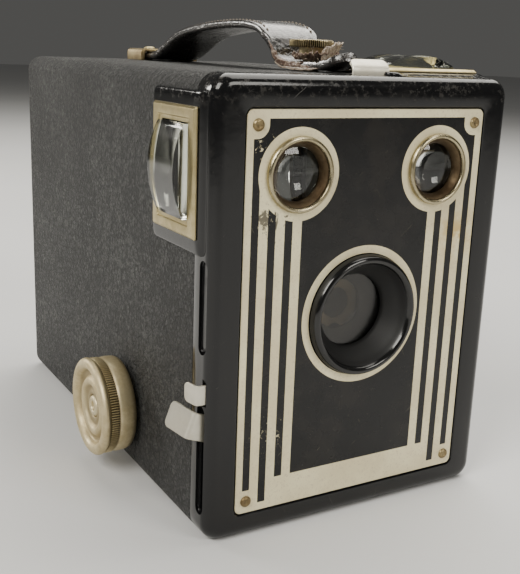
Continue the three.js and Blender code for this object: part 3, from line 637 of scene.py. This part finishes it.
def back_covering():
    """A shallow cap with rounded rear edges, hollow from the front."""
    radius, thick, lap = 3.4, 0.5, CASE_REAR + 0.1
    arc = [(radius * (1 - math.cos(a)), DEPTH - radius * (1 - math.sin(a)))
           for a in (math.radians(90 * k / 8) for k in range(9))]
    levels = [(0, lap), *arc, *[(i + thick, y - thick) for i, y in reversed(arc)], (thick, lap)]
    bm = loft([y_ring(case_ring(i, max(CORNER - i, 0.8)), y) for i, y in levels])
    # the loft joins the two end faces to each other, so they are closed apart
    outer_end, inner_end = (
        [v for v in bm.verts if abs(v.co.y - (y - DEPTH / 2) * MM) < 1e-7]
        for y in (DEPTH, DEPTH - thick))
    joined = set(outer_end) | set(inner_end)
    doomed = [f for f in bm.faces if all(v in joined for v in f.verts)]
    bmesh.ops.delete(bm, geom=doomed, context="FACES_ONLY")
    for end in (outer_end, inner_end):
        bm.faces.new(end)
    cap = piece("case_back_covering", bm, "leatherette", "case",
                ("leatherette_back",))
    carve(cap, [drill(facing(RUBY_X, RUBY_Z), 5.9, CASE_REAR, DEPTH + 1, 64)])


wrap_skin()
back_covering()

# ---------------------------------------------------------------- front cover
COVER_REAR = 8.0


def holed_sheet(bm, outline_verts, circles, y):
    """Fills a flat outline round some circles and returns the circles' vertices."""
    edges = []
    loops = []
    count = len(outline_verts)
    for i in range(count):
        a, b = outline_verts[i], outline_verts[(i + 1) % count]
        edges.append(bm.edges.get((a, b)) or bm.edges.new((a, b)))
    for points in circles:
        loop = [bm.verts.new(at(x, y, z)) for x, z in points]
        loops.append(loop)
        edges += [bm.edges.new((loop[i], loop[(i + 1) % len(loop)])) for i in range(len(loop))]
    bmesh.ops.triangle_fill(bm, use_beauty=True, use_dissolve=False, edges=edges)
    return loops


def face_holes(lens, finder, lens_steps, finder_steps=64):
    return [circle(0, LENS_Z, lens, lens_steps), circle(-FINDER_X, FINDER_Z, finder, finder_steps),
            circle(FINDER_X, FINDER_Z, finder, finder_steps)]


def bridge(bm, a, b):
    for i in range(len(a)):
        j = (i + 1) % len(a)
        bm.faces.new((a[i], a[j], b[j], b[i]))


def front_cover():
    round_off = 2.8
    recess = lambda d: box_outline(-32.75 + d, 32.75 - d, 5.35 + d, 98.45 - d, 2.0 - d)
    outlines = [(case_ring(1.5), COVER_REAR), (case_ring(0.2), COVER_REAR),
                (case_ring(0.05), COVER_REAR - 0.06), (case_ring(0), COVER_REAR - 0.2)]
    for k in range(9):
        a = math.radians(90 * k / 8)
        inset = round_off * (1 - math.cos(a))
        outlines.append((case_ring(inset), round_off * (1 - math.sin(a))))
    outlines += [(box_outline(-33.2, 33.2, 4.9, 98.9, 2.3), 0), (recess(0), 0.1),
                 (recess(0.15), 0.3), (recess(0.15), 0.95)]
    rings = [y_ring(outline, y) for outline, y in outlines]
    bm = loft(rings, around=False)
    bm.verts.ensure_lookup_table()
    count = len(rings[0])
    rear = list(bm.verts[:count])
    floor = list(bm.verts[-count:])
    holes = face_holes(13.9, 7.55, 96)
    front_loops = holed_sheet(bm, floor, holes, 0.95)
    inner = [bm.verts.new(p) for p in y_ring(case_ring(1.5), 1.5)]
    bridge(bm, rear, inner)
    back_loops = holed_sheet(bm, inner, holes, 1.5)
    for a, b in zip(front_loops, back_loops):
        bridge(bm, a, b)
    cover = piece("front_cover_shell", bm, "enamel", "front_section", ("front_cover",))
    left = WIDTH / 2
    channel = [box_outline(1.9, 5.2, z0, z1, 1.6) for z0, z1 in ((45, 66), (6.6, 33.2))]
    carve(cover, [
        *[cutter(slab([(y, z) for y, z in c], outward(0, 0), left - 0.75, left + 1, 0.2))
          for c in channel],
        block(-left - 1, -left + 6, 2.7, 4.1, 7.2, 32.4),
        block(-left - 1, -left + 6, 1.55, 2.65, 33.4, 39),
        block(-4.1, 6.7, 3.9, 5.1, HEIGHT - 5, HEIGHT + 1),
    ])


def ease(value, low, high):
    t = min(max((value - low) / (high - low), 0), 1)
    return t * t * (3 - 2 * t)


def ears():
    """Both ears grow out of the cover's band and stand off the case behind it."""
    ends = (0.04, 0.09, 0.15, 0.25, 0.4, 0.6, 0.75, 0.85, 0.91, 0.96)
    window = FINDER_DEPTH - 7.2, FINDER_DEPTH + 7.2  # front and rear edge of the opening
    side_outer = box_outline(2.6, 28.9, FINDER_Z - 17.2, FINDER_Z + 17.2, 2.0, along=ends)
    side_inner = box_outline(*window, FINDER_Z - 10.7, FINDER_Z + 10.7, 0.4, along=ends)
    top_outer = box_outline(TOP_WINDOW_X - 15, TOP_WINDOW_X + 15, 2.6, 28.9, 1.8, along=ends)
    top_inner = box_outline(TOP_WINDOW_X - 10.7, TOP_WINDOW_X + 10.7, *window, 0.4, along=ends)

    def sunk(t, depth, edge):
        low = edge + 0.02
        return t if depth > 8 else min(t, low + (max(t, low) - low) * ease(depth, 2.4, 5.6))

    side = lambda u, v, t: outward(0, 0)(u, v, sunk(t, u, WIDTH / 2))
    top = lambda u, v, t: upright(0, 0)(u, v, sunk(t, v + 5 * ease(10 - u, 0, 5), HEIGHT))
    for name, outer, inner, place, face in (
            ("cover_ear_side", side_outer, side_inner, side, EAR_SIDE),
            ("cover_ear_top", top_outer, top_inner, top, EAR_TOP)):
        levels = [(0, face - 0.8), (0, face - 0.45), (0.02, face - 0.2), (0.06, face - 0.05),
                  (0.12, face), (0.3, face), (0.6, face), (1, face), (1, face - 0.8)]
        piece(name, ring_plate(outer, inner, place, levels), "enamel", "front_section",
              sharp=60)


front_cover()
ears()


# ---------------------------------------------------------------- face plate and its rings
def face_plate():
    bm = bmesh.new()
    outline = box_outline(-32.25, 32.25, 5.9, 97.9, 1.5)
    front_in = [bm.verts.new(p) for p in y_ring(
        box_outline(-32.1, 32.1, 6.05, 97.75, 1.35), 0.25)]
    front_out = [bm.verts.new(p) for p in y_ring(outline, 0.37)]
    back = [bm.verts.new(p) for p in y_ring(outline, 0.7)]
    holes = face_holes(14.75, 7.65, 128, 96)
    front_loops = holed_sheet(bm, front_in, holes, 0.25)
    back_loops = holed_sheet(bm, back, holes, 0.7)
    bridge(bm, front_in, front_out)
    bridge(bm, front_out, back)
    for a, b in zip(front_loops, back_loops):
        bridge(bm, a, b)
    piece("printed_face_plate", bm, "litho", "front_section", ("face_plate",))


face_plate()

RIVET = rounded([(0, -0.2), (0.4, -0.24), (0.7, -0.44), (1.05, -0.34), (1.32, -0.02), (1.35, 0.22),
                 (0.95, 0.22), (0.95, 2.2), (0, 2.2)], [0, 0.2, 0.2, 0.25, 0.15, 0, 0, 0, 0])
for index, (x, z) in enumerate(RIVETS):
    piece(f"face_rivet_{index + 1}", turned(RIVET, facing(x, z), 40), "bronze",
          "front_section", (f"plate_rivet_{index + 1}",))

BEZEL = rounded([
    (13.1, 0.15), (14.55, 0.15), (14.55, -0.7), (14.2, -1.75), (13.5, -2.2), (12.75, -1.95),
    (12.2, -1.0), (11.6, 0.6), (8.95, 3.9), (8.8, 4.9), (9.7, 4.9), (9.75, 4.2), (12.8, 1.0)],
    [0.1, 0.3, 0.5, 0.7, 0.6, 0.6, 0.8, 1.2, 0.5, 0.1, 0.1, 0.3, 0.3], steps=6)
piece("lens_hood_ring", turned(BEZEL, facing(0, LENS_Z), 128), "hood",
      "front_section", ("lens_bezel",), sharp=50)

RIM = rounded([
    (7.35, 0.15), (8.35, 0.15), (8.35, -0.5), (8.1, -0.95), (7.7, -1.1), (7.3, -0.95),
    (7.15, -0.55), (7.2, -0.2)], [0.05, 0.2, 0.3, 0.3, 0.3, 0.3, 0.3, 0.1], steps=5)
DISH = rounded([
    (7.3, 2.3), (7.3, -0.2), (7.1, -0.35), (6.85, -0.2), (6.4, 0.35), (6.05, 1.1), (5.95, 1.6),
    (6.0, 2.3)], [0.1, 0.2, 0.2, 0.3, 0.6, 0.4, 0.3, 0.1], steps=5)
OBJECTIVE = [(0, 0.7)]
OBJECTIVE += [(5.9 * k / 10, 0.7 + 1.0 * (k / 10) ** 2) for k in range(1, 11)]
OBJECTIVE += [(5.9 * k / 10, 3.5 - 1.1 * (k / 10) ** 2) for k in range(10, 0, -1)]
OBJECTIVE += [(0, 3.5)]
for name, x in (("side", -FINDER_X), ("top", FINDER_X)):
    piece(f"finder_rim_{name}", turned(RIM, facing(x, FINDER_Z), 96), "pale_brass",
          "front_section", (f"finder_bezel_{name}",), sharp=50)
    piece(f"finder_dish_{name}", turned(DISH, facing(x, FINDER_Z), 96), "tarnish",
          "front_section", sharp=50)
    piece(f"finder_lens_{name}", turned(OBJECTIVE, facing(x, FINDER_Z), 64), "glass",
          "front_section", (f"finder_objective_{name}",))


# ---------------------------------------------------------------- finder windows
def finder_window(name, place, face):
    """place takes (along, depth, outward); face is the ear's outer face."""
    outer = box_outline(-13.95, 13.95, FINDER_DEPTH - 10.8, FINDER_DEPTH + 10.85, 0.3)
    inner = box_outline(-10.35, 10.35, FINDER_DEPTH - 6.85, FINDER_DEPTH + 6.85, 0.5)
    levels = [(0, face + 0.05), (0, face + 0.3), (0.04, face + 0.5), (0.13, face + 0.82),
              (0.18, face + 0.85), (0.62, face + 0.85), (0.68, face + 0.8), (0.74, face + 0.5),
              (0.78, face + 0.45), (0.97, face + 0.45), (1, face + 0.38), (1, face + 0.05)]
    piece(f"finder_frame_plate_{name}", ring_plate(outer, inner, place, levels), "brass",
          "front_section", (f"finder_frame_{name}",), sharp=28)
    half, bulge = 10.15, 2.5
    radius = (half ** 2 + bulge ** 2) / (2 * bulge)
    spread = math.asin(half / radius)
    crown = [(-half, face - 1.5), (half, face - 1.5)]
    for k in range(33):
        a = spread * (1 - k / 16)
        crown.append((radius * math.sin(a), face + 1.3 + bulge - radius * (1 - math.cos(a))))
    lay = lambda u, v, t: place(u, t, v)
    piece(f"finder_glass_{name}", slab(crown, lay, FINDER_DEPTH - 6.65, FINDER_DEPTH + 6.65, 0.3),
          "window_glass", "front_section", (f"finder_window_{name}",), sharp=40)


finder_window("side", lambda u, v, t: at(-t, v, FINDER_Z + u), EAR_SIDE)
finder_window("top", lambda u, v, t: at(TOP_WINDOW_X + u, v, t), EAR_TOP)

# ---------------------------------------------------------------- winding key
# (radius, distance out from the case's side), inwards round the dished face
KNOB = [(10.4, 1.2), (11.6, 1.2), (12.15, 1.5), (12.5, 2.4), (12.6, 4.0), (12.5, 5.3), (12.3, 5.8),
        (12.2, 5.95), (12.05, 6.05), (12.05, 8.15), (12.3, 8.22), (12.55, 8.4), (12.9, 9.0),
        (12.75, 9.75), (12.2, 10.3), (11.3, 10.52), (10.4, 10.2), (9.9, 9.6), (9.6, 8.85),
        (9.2, 8.55), (8.3, 8.5), (7.9, 8.85), (7.4, 9.4), (6.7, 9.62), (6.0, 9.4), (5.5, 8.85),
        (5.1, 8.5), (4.4, 8.5), (3.9, 8.75), (3.4, 8.8), (3.0, 8.6), (3.0, 6.9), (4.4, 6.9),
        (4.4, 7.5), (10.4, 7.5)]
LEFT = WIDTH / 2
knob_place = lambda u, v, t: at(-LEFT - t, WINDER_Y + u, WINDER_Z + v)
piece("winding_knob_turned", turned(rounded(KNOB, 0.26, steps=2), knob_place, 160),
      "knob", "winder", ("winding_knob",), sharp=50)
BAND = [(11.6, 6.02), (12.1, 5.98), (12.56, 6.12), (12.6, 6.3), (12.6, 7.95), (12.56, 8.12),
        (12.1, 8.24), (11.6, 8.2)]
piece("winding_knob_knurls", turned(BAND, knob_place, 960, knurl=(120, 0.5, 6.1, 8.15)),
      "knob", "winder", sharp=50)
SHAFT = rounded([(0, -1.3), (2.85, -1.3), (2.85, 8.6), (2.2, 9.18), (1.3, 9.0), (1.1, 7.8),
                 (0, 7.8)], [0, 0.2, 0.4, 0.4, 0.3, 0.2, 0])
piece("winding_shaft_turned", turned(SHAFT, knob_place, 48), "nickel", "winder",
      ("winding_shaft",))
piece("winding_tongue", slab(
    box_outline(WINDER_Y - 2.6, WINDER_Y + 2.6, WINDER_Z - 0.5, WINDER_Z + 0.5, 0.2, 3),
    outward(0, 0), 35.4, 38.9, 0.15), "steel", "winder")


# ---------------------------------------------------------------- finger tabs
def bent_strip(path, place, width, thickness, tip, back=0.0):
    """A sheet strip along a path of (a, b), its end rounded by tip, width wide across."""
    path = rounded(path, 0.9, closed=False, steps=8)
    points = [Vector(p) for p in path]
    lengths = [0.0]
    for a, b in zip(points, points[1:]):
        lengths.append(lengths[-1] + (b - a).length)
    total = lengths[-1]
    samples = sorted(set(lengths + [total - tip * (1 - math.cos(math.radians(q)))
                                    for q in range(0, 91, 10)]))
    rings = []
    edge = min(0.1, thickness * 0.4)
    for s in samples:
        k = max(i for i, at_length in enumerate(lengths) if at_length <= s + 1e-9)
        k = min(k, len(points) - 2)
        step = points[k + 1] - points[k]
        p = points[k] + step * ((s - lengths[k]) / step.length)
        normal = Vector((-step.y, step.x)).normalized()
        left = total - s
        half = width / 2
        if left < tip:
            half -= tip - math.sqrt(max(tip ** 2 - (tip - left) ** 2, 0))
        h = thickness / 2
        ring = []
        for across, out in ((-half, -h + edge), (-half + edge, -h), (half - edge, -h),
                            (half, -h + edge), (half, h - edge), (half - edge, h),
                            (-half + edge, h), (-half, h - edge)):
            q = p + normal * out
            ring.append(place(q.x, q.y, across))
        rings.append(ring)
    return loft(rings, around=False, caps=True)


def tabs():
    strip = bent_strip([(-25, 2.1), (-41.7, 2.1), (-42.4, 6.3)],
                       lambda a, b, c: at(a, b, 36.2 + c), 4.6, 0.6, 1.2)
    piece("time_tab", strip, "tab", "time_slide", ("time_slide",), sharp=30)

    pivot = at(LEVER_X, 0, LEVER_Z)
    tilt = Matrix.Rotation(math.radians(LEVER_REST), 4, "Y")

    def lever(a, b, c):
        return pivot + tilt @ (Vector((a, b, c)) * MM)

    strip = bent_strip([(3.6, 3.35), (-27.1, 3.35), (-29.0, 10.9)], lever, 6.2, 0.7, 1.2)
    piece("shutter_lever_arm", strip, "tab", "shutter_lever", ("shutter_lever",),
          sharp=30)
    axle = rounded([(0, 2.5), (2, 2.5), (2, 3.75), (4.1, 3.75), (4.1, 4.1), (2, 4.1), (2, 13.9),
                    (0, 13.9)], 0.1)
    piece("shutter_lever_axle", turned(axle, facing(LEVER_X, LEVER_Z), 32), "steel",
          "shutter_lever")
    start = Vector((LEVER_X, LEVER_Z))
    reach = (Vector((DISC_X, DISC_Z)) - start).normalized()
    side = Vector((-reach.y, reach.x)) * 1.7
    end = start + reach * 9
    crank = rounded([start - side, end - side, end + side, start + side], 1.2)
    piece("shutter_crank", slab(crank, facing(0, 0), 13.4, 13.95, 0.1), "steel",
          "shutter_lever")

    strip = bent_strip([(4.5, 67.0), (4.5, 106.5), (6.4, 108.2)],
                       lambda a, b, c: at(1.3 + c, a, b), 10, 0.6, 1.3)
    piece("stop_tab", strip, "tab", "stop_slide", sharp=30)
    ledge = slab([(-3.6, 4.3), (6.2, 4.3), (6.2, 12.0), (-3.6, 12.0)], upright(0, 0), 66.55, 67.25,
                 0.1)
    piece("stop_ledge", ledge, "nickel", "stop_slide")
    sheet = slab(box_outline(-5.1, 6.2, 38.1, 67.2, 0.8), facing(0, 0), 11.52, 12.08, 0.08)
    leaf = piece("stop_leaf", sheet, "nickel", "stop_slide", ("stop_slide",))
    carve(leaf, [drill(facing(0, LENS_Z), 3.9, 11, 13),
                 drill(facing(0, LENS_Z - STOP_DROP), 2.8, 11, 13)])


tabs()

# ---------------------------------------------------------------- carrying strap
STRAP_HALF, STRAP_TONGUE = 8.0, 4.4  # half widths of the strap and of its front end
STRAP_THICK = 2.2
# half of the height and of the width are 1; the upper side has a groove along each edge
STRAP_SECTION = [
    (-1, -0.35), (-0.97, -0.8), (-0.88, -1), (-0.4, -1), (0.4, -1), (0.88, -1), (0.97, -0.8),
    (1, -0.35), (1, 0.35), (0.97, 0.8), (0.88, 0.9), (0.8, 0.78), (0.7, 0.92), (0.35, 1),
    (-0.35, 1), (-0.7, 0.92), (-0.8, 0.78), (-0.88, 0.9), (-0.97, 0.8), (-1, 0.35)]
# (y, z) of the strap's middle
STRAP_LINE = [
    (10.9, 108.8), (13.9, 107.6), (17.9, 106.6), (22.4, 106.35), (30, 106.35), (32.8, 106.75),
    (34.5, 108.1), (35.5, 110.3), (37.2, 112.8), (40.6, 114.8), (46.3, 115.75), (53.3, 116.0),
    (61.3, 115.85), (69.3, 115.4), (78.3, 114.6), (85.3, 113.6), (92.3, 111.8), (99.3, 109.0),
    (104.6, 107.1), (110.4, 106.4), (123.9, 106.4)]


def spline(points, count):
    """Catmull-Rom through (y, z) points, evenly spaced by length."""
    pts = [Vector(p) for p in points]
    pts = [pts[0] * 2 - pts[1]] + pts + [pts[-1] * 2 - pts[-2]]
    dense = []
    for p0, p1, p2, p3 in zip(pts, pts[1:], pts[2:], pts[3:]):
        for k in range(16):
            t = k / 16
            dense.append(0.5 * (2 * p1 + (p2 - p0) * t + (2 * p0 - 5 * p1 + 4 * p2 - p3) * t * t
                                + (3 * p1 - p0 - 3 * p2 + p3) * t ** 3))
    dense.append(pts[-2])
    return even(dense, count)


def even(dense, count):
    lengths = [0.0]
    for a, b in zip(dense, dense[1:]):
        lengths.append(lengths[-1] + (b - a).length)
    result = []
    k = 0
    for i in range(count):
        s = lengths[-1] * i / (count - 1)
        while k < len(dense) - 2 and lengths[k + 1] < s:
            k += 1
        t = (s - lengths[k]) / (lengths[k + 1] - lengths[k])
        result.append(dense[k].lerp(dense[k + 1], t))
    return result


def strap_half_width(y):
    if y < 14.6:
        return math.sqrt(max(3.8 ** 2 - (14.6 - y) ** 2, 0.25))
    if y < 31:
        return 3.8 + 0.6 * (y - 14.6) / 16.4
    return STRAP_TONGUE + (STRAP_HALF - STRAP_TONGUE) * min((y - 31) / 6.5, 1)


def normal_to(line, i):
    ahead = line[min(i + 1, len(line) - 1)] - line[max(i - 1, 0)]
    return Vector((-ahead.y, ahead.x)).normalized()


def add_loft(bm, rings):
    """Adds a closed loft to a mesh that holds many."""
    part = loft(rings, around=False, caps=True)
    mesh = bpy.data.meshes.new("part")
    part.to_mesh(mesh)
    part.free()
    bm.from_mesh(mesh)
    bpy.data.meshes.remove(mesh)


def strap():
    line = spline(STRAP_LINE, 200)
    rng = random.Random(4)
    rings = []
    for i, p in enumerate(line):
        normal = normal_to(line, i)
        half = strap_half_width(p.x) - 0.05
        wobble = 0.12 * math.sin(i * 0.5) + rng.uniform(-0.05, 0.05)
        h = STRAP_THICK / 2 - 0.05
        ring = []
        for across, out in STRAP_SECTION:
            edge_wave = wobble * 0.35 if abs(across) > 0.9 else 0
            q = p + normal * (out * h)
            ring.append(at(across * half + math.copysign(edge_wave, across), q.x, q.y))
        rings.append(ring)
    piece("carrying_strap", loft(rings, around=False, caps=True), "leather", "case",
          ("carry_strap",), sharp=60)
    stitches(line)


def stitches(line):
    """Short raised threads along both edges of the strap's upper face."""
    bm = bmesh.new()
    for side in (-1, 1):
        for i in range(40, 170, 3):
            a, b = line[i], line[i + 2]
            ahead = (b - a).normalized()
            normal = Vector((-ahead.y, ahead.x))
            half = strap_half_width(a.x)
            if half < STRAP_HALF - 0.1:
                continue
            rows = []
            for k in range(7):
                t = k / 6
                lift = STRAP_THICK / 2 * 0.74 + 0.26 * math.sin(math.pi * t)
                thick = 0.2 * math.sqrt(max(math.sin(math.pi * (0.08 + 0.84 * t)), 0.05))
                p = a.lerp(b, t) + normal * lift
                ring = circle(0, 0, thick, 6)
                rows.append([at(side * (half * 0.8) + x, p.x + normal.x * z, p.y + normal.y * z)
                             for x, z in ring])
            add_loft(bm, rows)
    piece("strap_stitches", bm, "thread", "case", sharp=80)


strap()

# ---------------------------------------------------------------- strap ends and latch
CLIP_TOP = HEIGHT + 3.6
CLIP_FOOT = HEIGHT + 0.1


def mirrored(half_width, points):
    """A closed outline from its right half, given as (share of half_width, z)."""
    right = [(share * half_width, z) for share, z in points]
    return right + [(-x, z) for x, z in reversed(right)]


clip = ring_plate(
    mirrored(9.8, [(1, CLIP_FOOT), (1, CLIP_TOP - 1.2), (0.97, CLIP_TOP - 0.4), (0.89, CLIP_TOP)]),
    mirrored(8.4, [(1, CLIP_FOOT), (1, CLIP_TOP - 1.4), (0.98, CLIP_TOP - 1.1),
                   (0.93, CLIP_TOP - 0.85)]),
    facing(0, 0), [(0, 111.2), (0, 122.6), (0.2, 122.8), (0.8, 122.8), (1, 122.6), (1, 111.2),
                   (0.8, 111), (0.2, 111)])
piece("strap_end_clip", clip, "bronze", "case", ("strap_clip",), sharp=40)
HEAD = rounded([(0, HEIGHT - 3), (0.95, HEIGHT - 3), (0.95, CLIP_TOP + 0.05),
                (1.8, CLIP_TOP + 0.05), (1.7, CLIP_TOP + 0.45), (0.9, CLIP_TOP + 0.68),
                (0, CLIP_TOP + 0.7)], [0, 0, 0, 0.1, 0.3, 0.4, 0])
for name, x in (("left", -4.5), ("right", 4.5)):
    piece(f"strap_rivet_head_{name}", turned(HEAD, upright(x, 116.9), 32), "brass",
          "case", (f"strap_rivet_{name}",))

# (radius, height above the case's top)
NUT = rounded([
    (0, -6), (1.9, -6), (1.9, 2.65), (3.6, 2.65), (3.6, 3.4), (3, 3.6), (3, 5.6), (5.1, 5.65),
    (5.38, 5.85), (5.38, 7.2), (5.05, 7.42), (4.5, 7.45), (4.2, 7.2), (2.2, 7.2), (1.9, 7.45),
    (0, 7.48)],
    [0, 0.1, 0, 0.1, 0.1, 0.1, 0.1, 0.1, 0.1, 0.1, 0.2, 0.2, 0.1, 0.1, 0.2, 0], steps=2)
on_top = lambda u, v, t: at(u, LATCH_Y + v, HEIGHT + t)
piece("latch_thumb_screw", turned(NUT, on_top, 512, knurl=(64, 0.42, 5.7, 7.3)),
      "screw", "latch_screw", ("latch_screw",), sharp=45)


def crumpled(name, inner, outer, low, high, start, turn, seed, look="torn"):
    """Torn leather standing round the screw: a ragged, wrinkled sheet from radius inner to outer
    and from low to high above the case."""
    bm = bmesh.new()
    around, across = max(int(turn / 2.5), 12), 9
    rows = []
    for i in range(around + 1):
        a = math.radians(start + turn * i / around)
        ends = math.sin(math.pi * min(max(i / around, 0.03), 0.97)) ** 0.35
        ragged = (0.75 + 0.5 * noise.noise((seed, i * 0.31, 0))
                  + 0.22 * noise.noise((i * 0.9, 0, seed)))
        row = []
        for k in range(across + 1):
            t = k / across
            crease = (noise.noise((i * 0.34, t * 2.2, seed))
                      + 0.5 * noise.noise((i * 0.8, t * 5, seed)))
            radius = inner + (outer - inner) * t * ragged * ends + 0.25 * crease * t
            up = low + (high - low) * t ** 0.8 * ends + 0.85 * crease * t
            row.append(bm.verts.new(on_top(radius * math.cos(a), radius * math.sin(a), up)))
        rows.append(row)
    for a, b in zip(rows, rows[1:]):
        for k in range(across):
            bm.faces.new((a[k], a[k + 1], b[k + 1], b[k]))
    flap = piece(name, bm, look, "case", sharp=50)
    thicken = flap.modifiers.new("thicken", "SOLIDIFY")
    thicken.thickness = 0.32 * MM
    thicken.offset = 0


crumpled("torn_leather_under_screw", 3.25, 5.4, 2.75, 3.9, 150, 250, 2.3)
crumpled("torn_leather_front", 3.9, 7.3, 2.7, 4.5, 195, 175, 7.1)
crumpled("torn_leather_flap", 5.7, 7.5, 2.6, 7.1, 262, 92, 4.4, "pale_leather_and_highlight")
crumpled("torn_leather_rear", 3.8, 6.0, 2.7, 4.6, 10, 130, 9.2)


def foot_layers():
    """Split edges of the strap where it bends up behind the screw."""
    for name, lift, spread, start, stop, look, seed in (
            ("split_layer_upper", 0.6, 0.7, 24.5, 36.4, "torn", 1.7),
            ("split_layer_middle", -0.1, 0.5, 20.5, 35.2, "torn", 8.6),
            # the lowest layer's pale leather is a painted highlight on the side edge of the strap's
            # foot
            ("split_layer_lower", -0.75, 0.5, 18.5, 34.2, "pale_leather_and_highlight", 5.2)):
        line = [p for p in spline(STRAP_LINE, 400) if start <= p.x <= stop]
        rings = []
        for i, p in enumerate(line):
            normal = normal_to(line, i)
            share = math.sin(math.pi * (0.04 + 0.92 * i / (len(line) - 1))) ** 0.5
            wave = noise.noise((i * 0.11, seed, 0)) + 0.5 * noise.noise((i * 0.35, seed, 3))
            half = strap_half_width(p.x) - 0.15
            reach = half + share * (spread + 0.35 * wave)
            thick = 0.4 * share
            middle = lift + 0.25 * wave
            ring = []
            for x, out in ((half - 0.6, middle - thick), (reach - 0.1, middle - thick * 0.8),
                           (reach, middle), (reach - 0.1, middle + thick * 0.8),
                           (half - 0.6, middle + thick)):
                q = p + normal * out
                ring.append(at(-x, q.x, q.y))
            rings.append(ring)
        piece(name, loft(rings, around=False, caps=True), look, "case", sharp=60)


foot_layers()


def fibres():
    """Loose ends of leather standing off the torn edges."""
    rng = random.Random(11)
    bm = bmesh.new()
    for _ in range(26):
        a = math.radians(rng.uniform(225, 400))
        radius = rng.uniform(5.7, 6.6)
        length = rng.uniform(0.8, 3.2)
        start = Vector((radius * math.cos(a), LATCH_Y + radius * math.sin(a),
                        HEIGHT + rng.uniform(3.0, 5.6)))
        lean = Vector((math.cos(a) * rng.uniform(0.3, 1), math.sin(a) * rng.uniform(0.3, 1),
                       rng.uniform(-0.2, 0.6))).normalized()
        curl = Vector((rng.uniform(-0.5, 0.5), rng.uniform(-0.5, 0.5), rng.uniform(-0.3, 0.3)))
        rows = []
        for k in range(6):
            t = k / 5
            thick = 0.09 * (1 - 0.8 * t)
            p = start + lean * length * t + curl * t * t
            rows.append([at(x, p.y, z) for x, z in circle(p.x, p.z, thick, 5)])
        add_loft(bm, rows)
    piece("leather_fibres", bm, "pale_leather_and_highlight", "case", sharp=80)


fibres()

# ---------------------------------------------------------------- rollers
ROLLER = rounded([(0, -35.1), (0.97, -35.1), (0.97, -33.3), (1.97, -33.3), (1.97, 33.3),
                  (0.97, 33.3), (0.97, 35.1), (0, 35.1)], [0, 0.2, 0, 0.2, 0.2, 0, 0.2, 0])
for name, z in (("lower", LENS_Z - 45.1), ("upper", LENS_Z + 45.1)):
    piece(f"film_roller_turned_{name}", turned(ROLLER, outward(120.4, z), 40), "nickel",
          f"film_roller_{name}", (f"film_roller_{name}",))

# ---------------------------------------------------------------- materials of the kept nodes
KEPT = {
    "black_steel": ["case_shell", "case_back", "shutter_board", "shutter_disc", "light_trap",
                    "latch_tongue", "lens_plate", "light_cone", "holder_side_left",
                    "holder_side_right", "film_gate", "take_up_spool", "finder_housing_top",
                    "finder_housing_side"],
    "steel": ["ruby_window_ring", "latch_clamp_plate", "winder_collar", "shutter_disc_pivot",
              "lens_retainer", "spool_spring_take_up", "spool_spring_supply_left",
              "spool_spring_supply_right", "spool_drive_dog", "shutter_spring"],
    "nickel": ["winder_bushing"],
    "glass": ["meniscus_lens"],
    "dim_glass": ["front_glass"],
    "mirror": ["finder_mirror_top", "finder_mirror_side"],
    "ruby": ["ruby_window"],
}
for look, names in KEPT.items():
    for name in names:
        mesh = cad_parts[name].data
        mesh.materials.clear()
        mesh.materials.append(LOOKS[look])


# ---------------------------------------------------------------- floor, light and camera
def floor():
    bm = bmesh.new()
    bmesh.ops.create_grid(bm, x_segments=1, y_segments=1, size=4.0)
    mesh = bpy.data.meshes.new("floor")
    bm.to_mesh(mesh)
    bm.free()
    look = Look("pale_floor", rough=0.7)
    cloud = look.noise(160, 3, 0.5)
    mesh.materials.append(look.set(Base_Color=look.mix(cloud, (0.60, 0.60, 0.60),
                                                       (0.66, 0.66, 0.655))))
    obj = bpy.data.objects.new("floor", mesh)
    bpy.context.scene.collection.objects.link(obj)


def softbox(name, place, target, size, watts, tint=(1, 1, 1)):
    data = bpy.data.lights.new(name, "AREA")
    data.shape = "RECTANGLE"
    data.size, data.size_y = size
    data.energy = watts
    data.color = tint
    obj = bpy.data.objects.new(name, data)
    obj.location = place
    obj.rotation_euler = (Vector(target) - Vector(place)).to_track_quat("-Z", "Y").to_euler()
    bpy.context.scene.collection.objects.link(obj)


def studio():
    world = bpy.data.worlds.new("studio")
    world.use_nodes = True
    background = world.node_tree.nodes["Background"]
    background.inputs["Color"].default_value = (0.83, 0.82, 0.78, 1)
    background.inputs["Strength"].default_value = 0.1
    bpy.context.scene.world = world
    middle = (0, 0, 0.05)
    warm = (1.0, 0.97, 0.90)
    softbox("key_light", (-0.75, -0.35, 0.75), middle, (0.5, 0.5), 11, warm)
    softbox("top_light", (0.34, 0.22, 0.8), middle, (1.0, 0.8), 13, warm)
    softbox("front_light", (0.35, -0.9, 0.6), middle, (0.4, 0.4), 5, warm)
    softbox("rear_left_light", (-0.62, 0.85, 0.42), middle, (0.3, 0.25), 5, warm)


def camera():
    forward = Vector((0.48817674, 0.83385612, -0.25761879))
    right = Vector((0.8672965, -0.4964439, 0.03660909))
    up = right.cross(forward)
    turn = Matrix((right, up, -forward)).transposed().to_4x4()
    data = bpy.data.cameras.new("camera")
    data.lens = 55.95
    data.clip_start = 0.01
    obj = bpy.data.objects.new("camera", data)
    obj.matrix_world = Matrix.Translation(at(-122.3, -161.1, 109.8)) @ turn
    bpy.context.scene.collection.objects.link(obj)
    bpy.context.scene.camera = obj


floor()
studio()
camera()
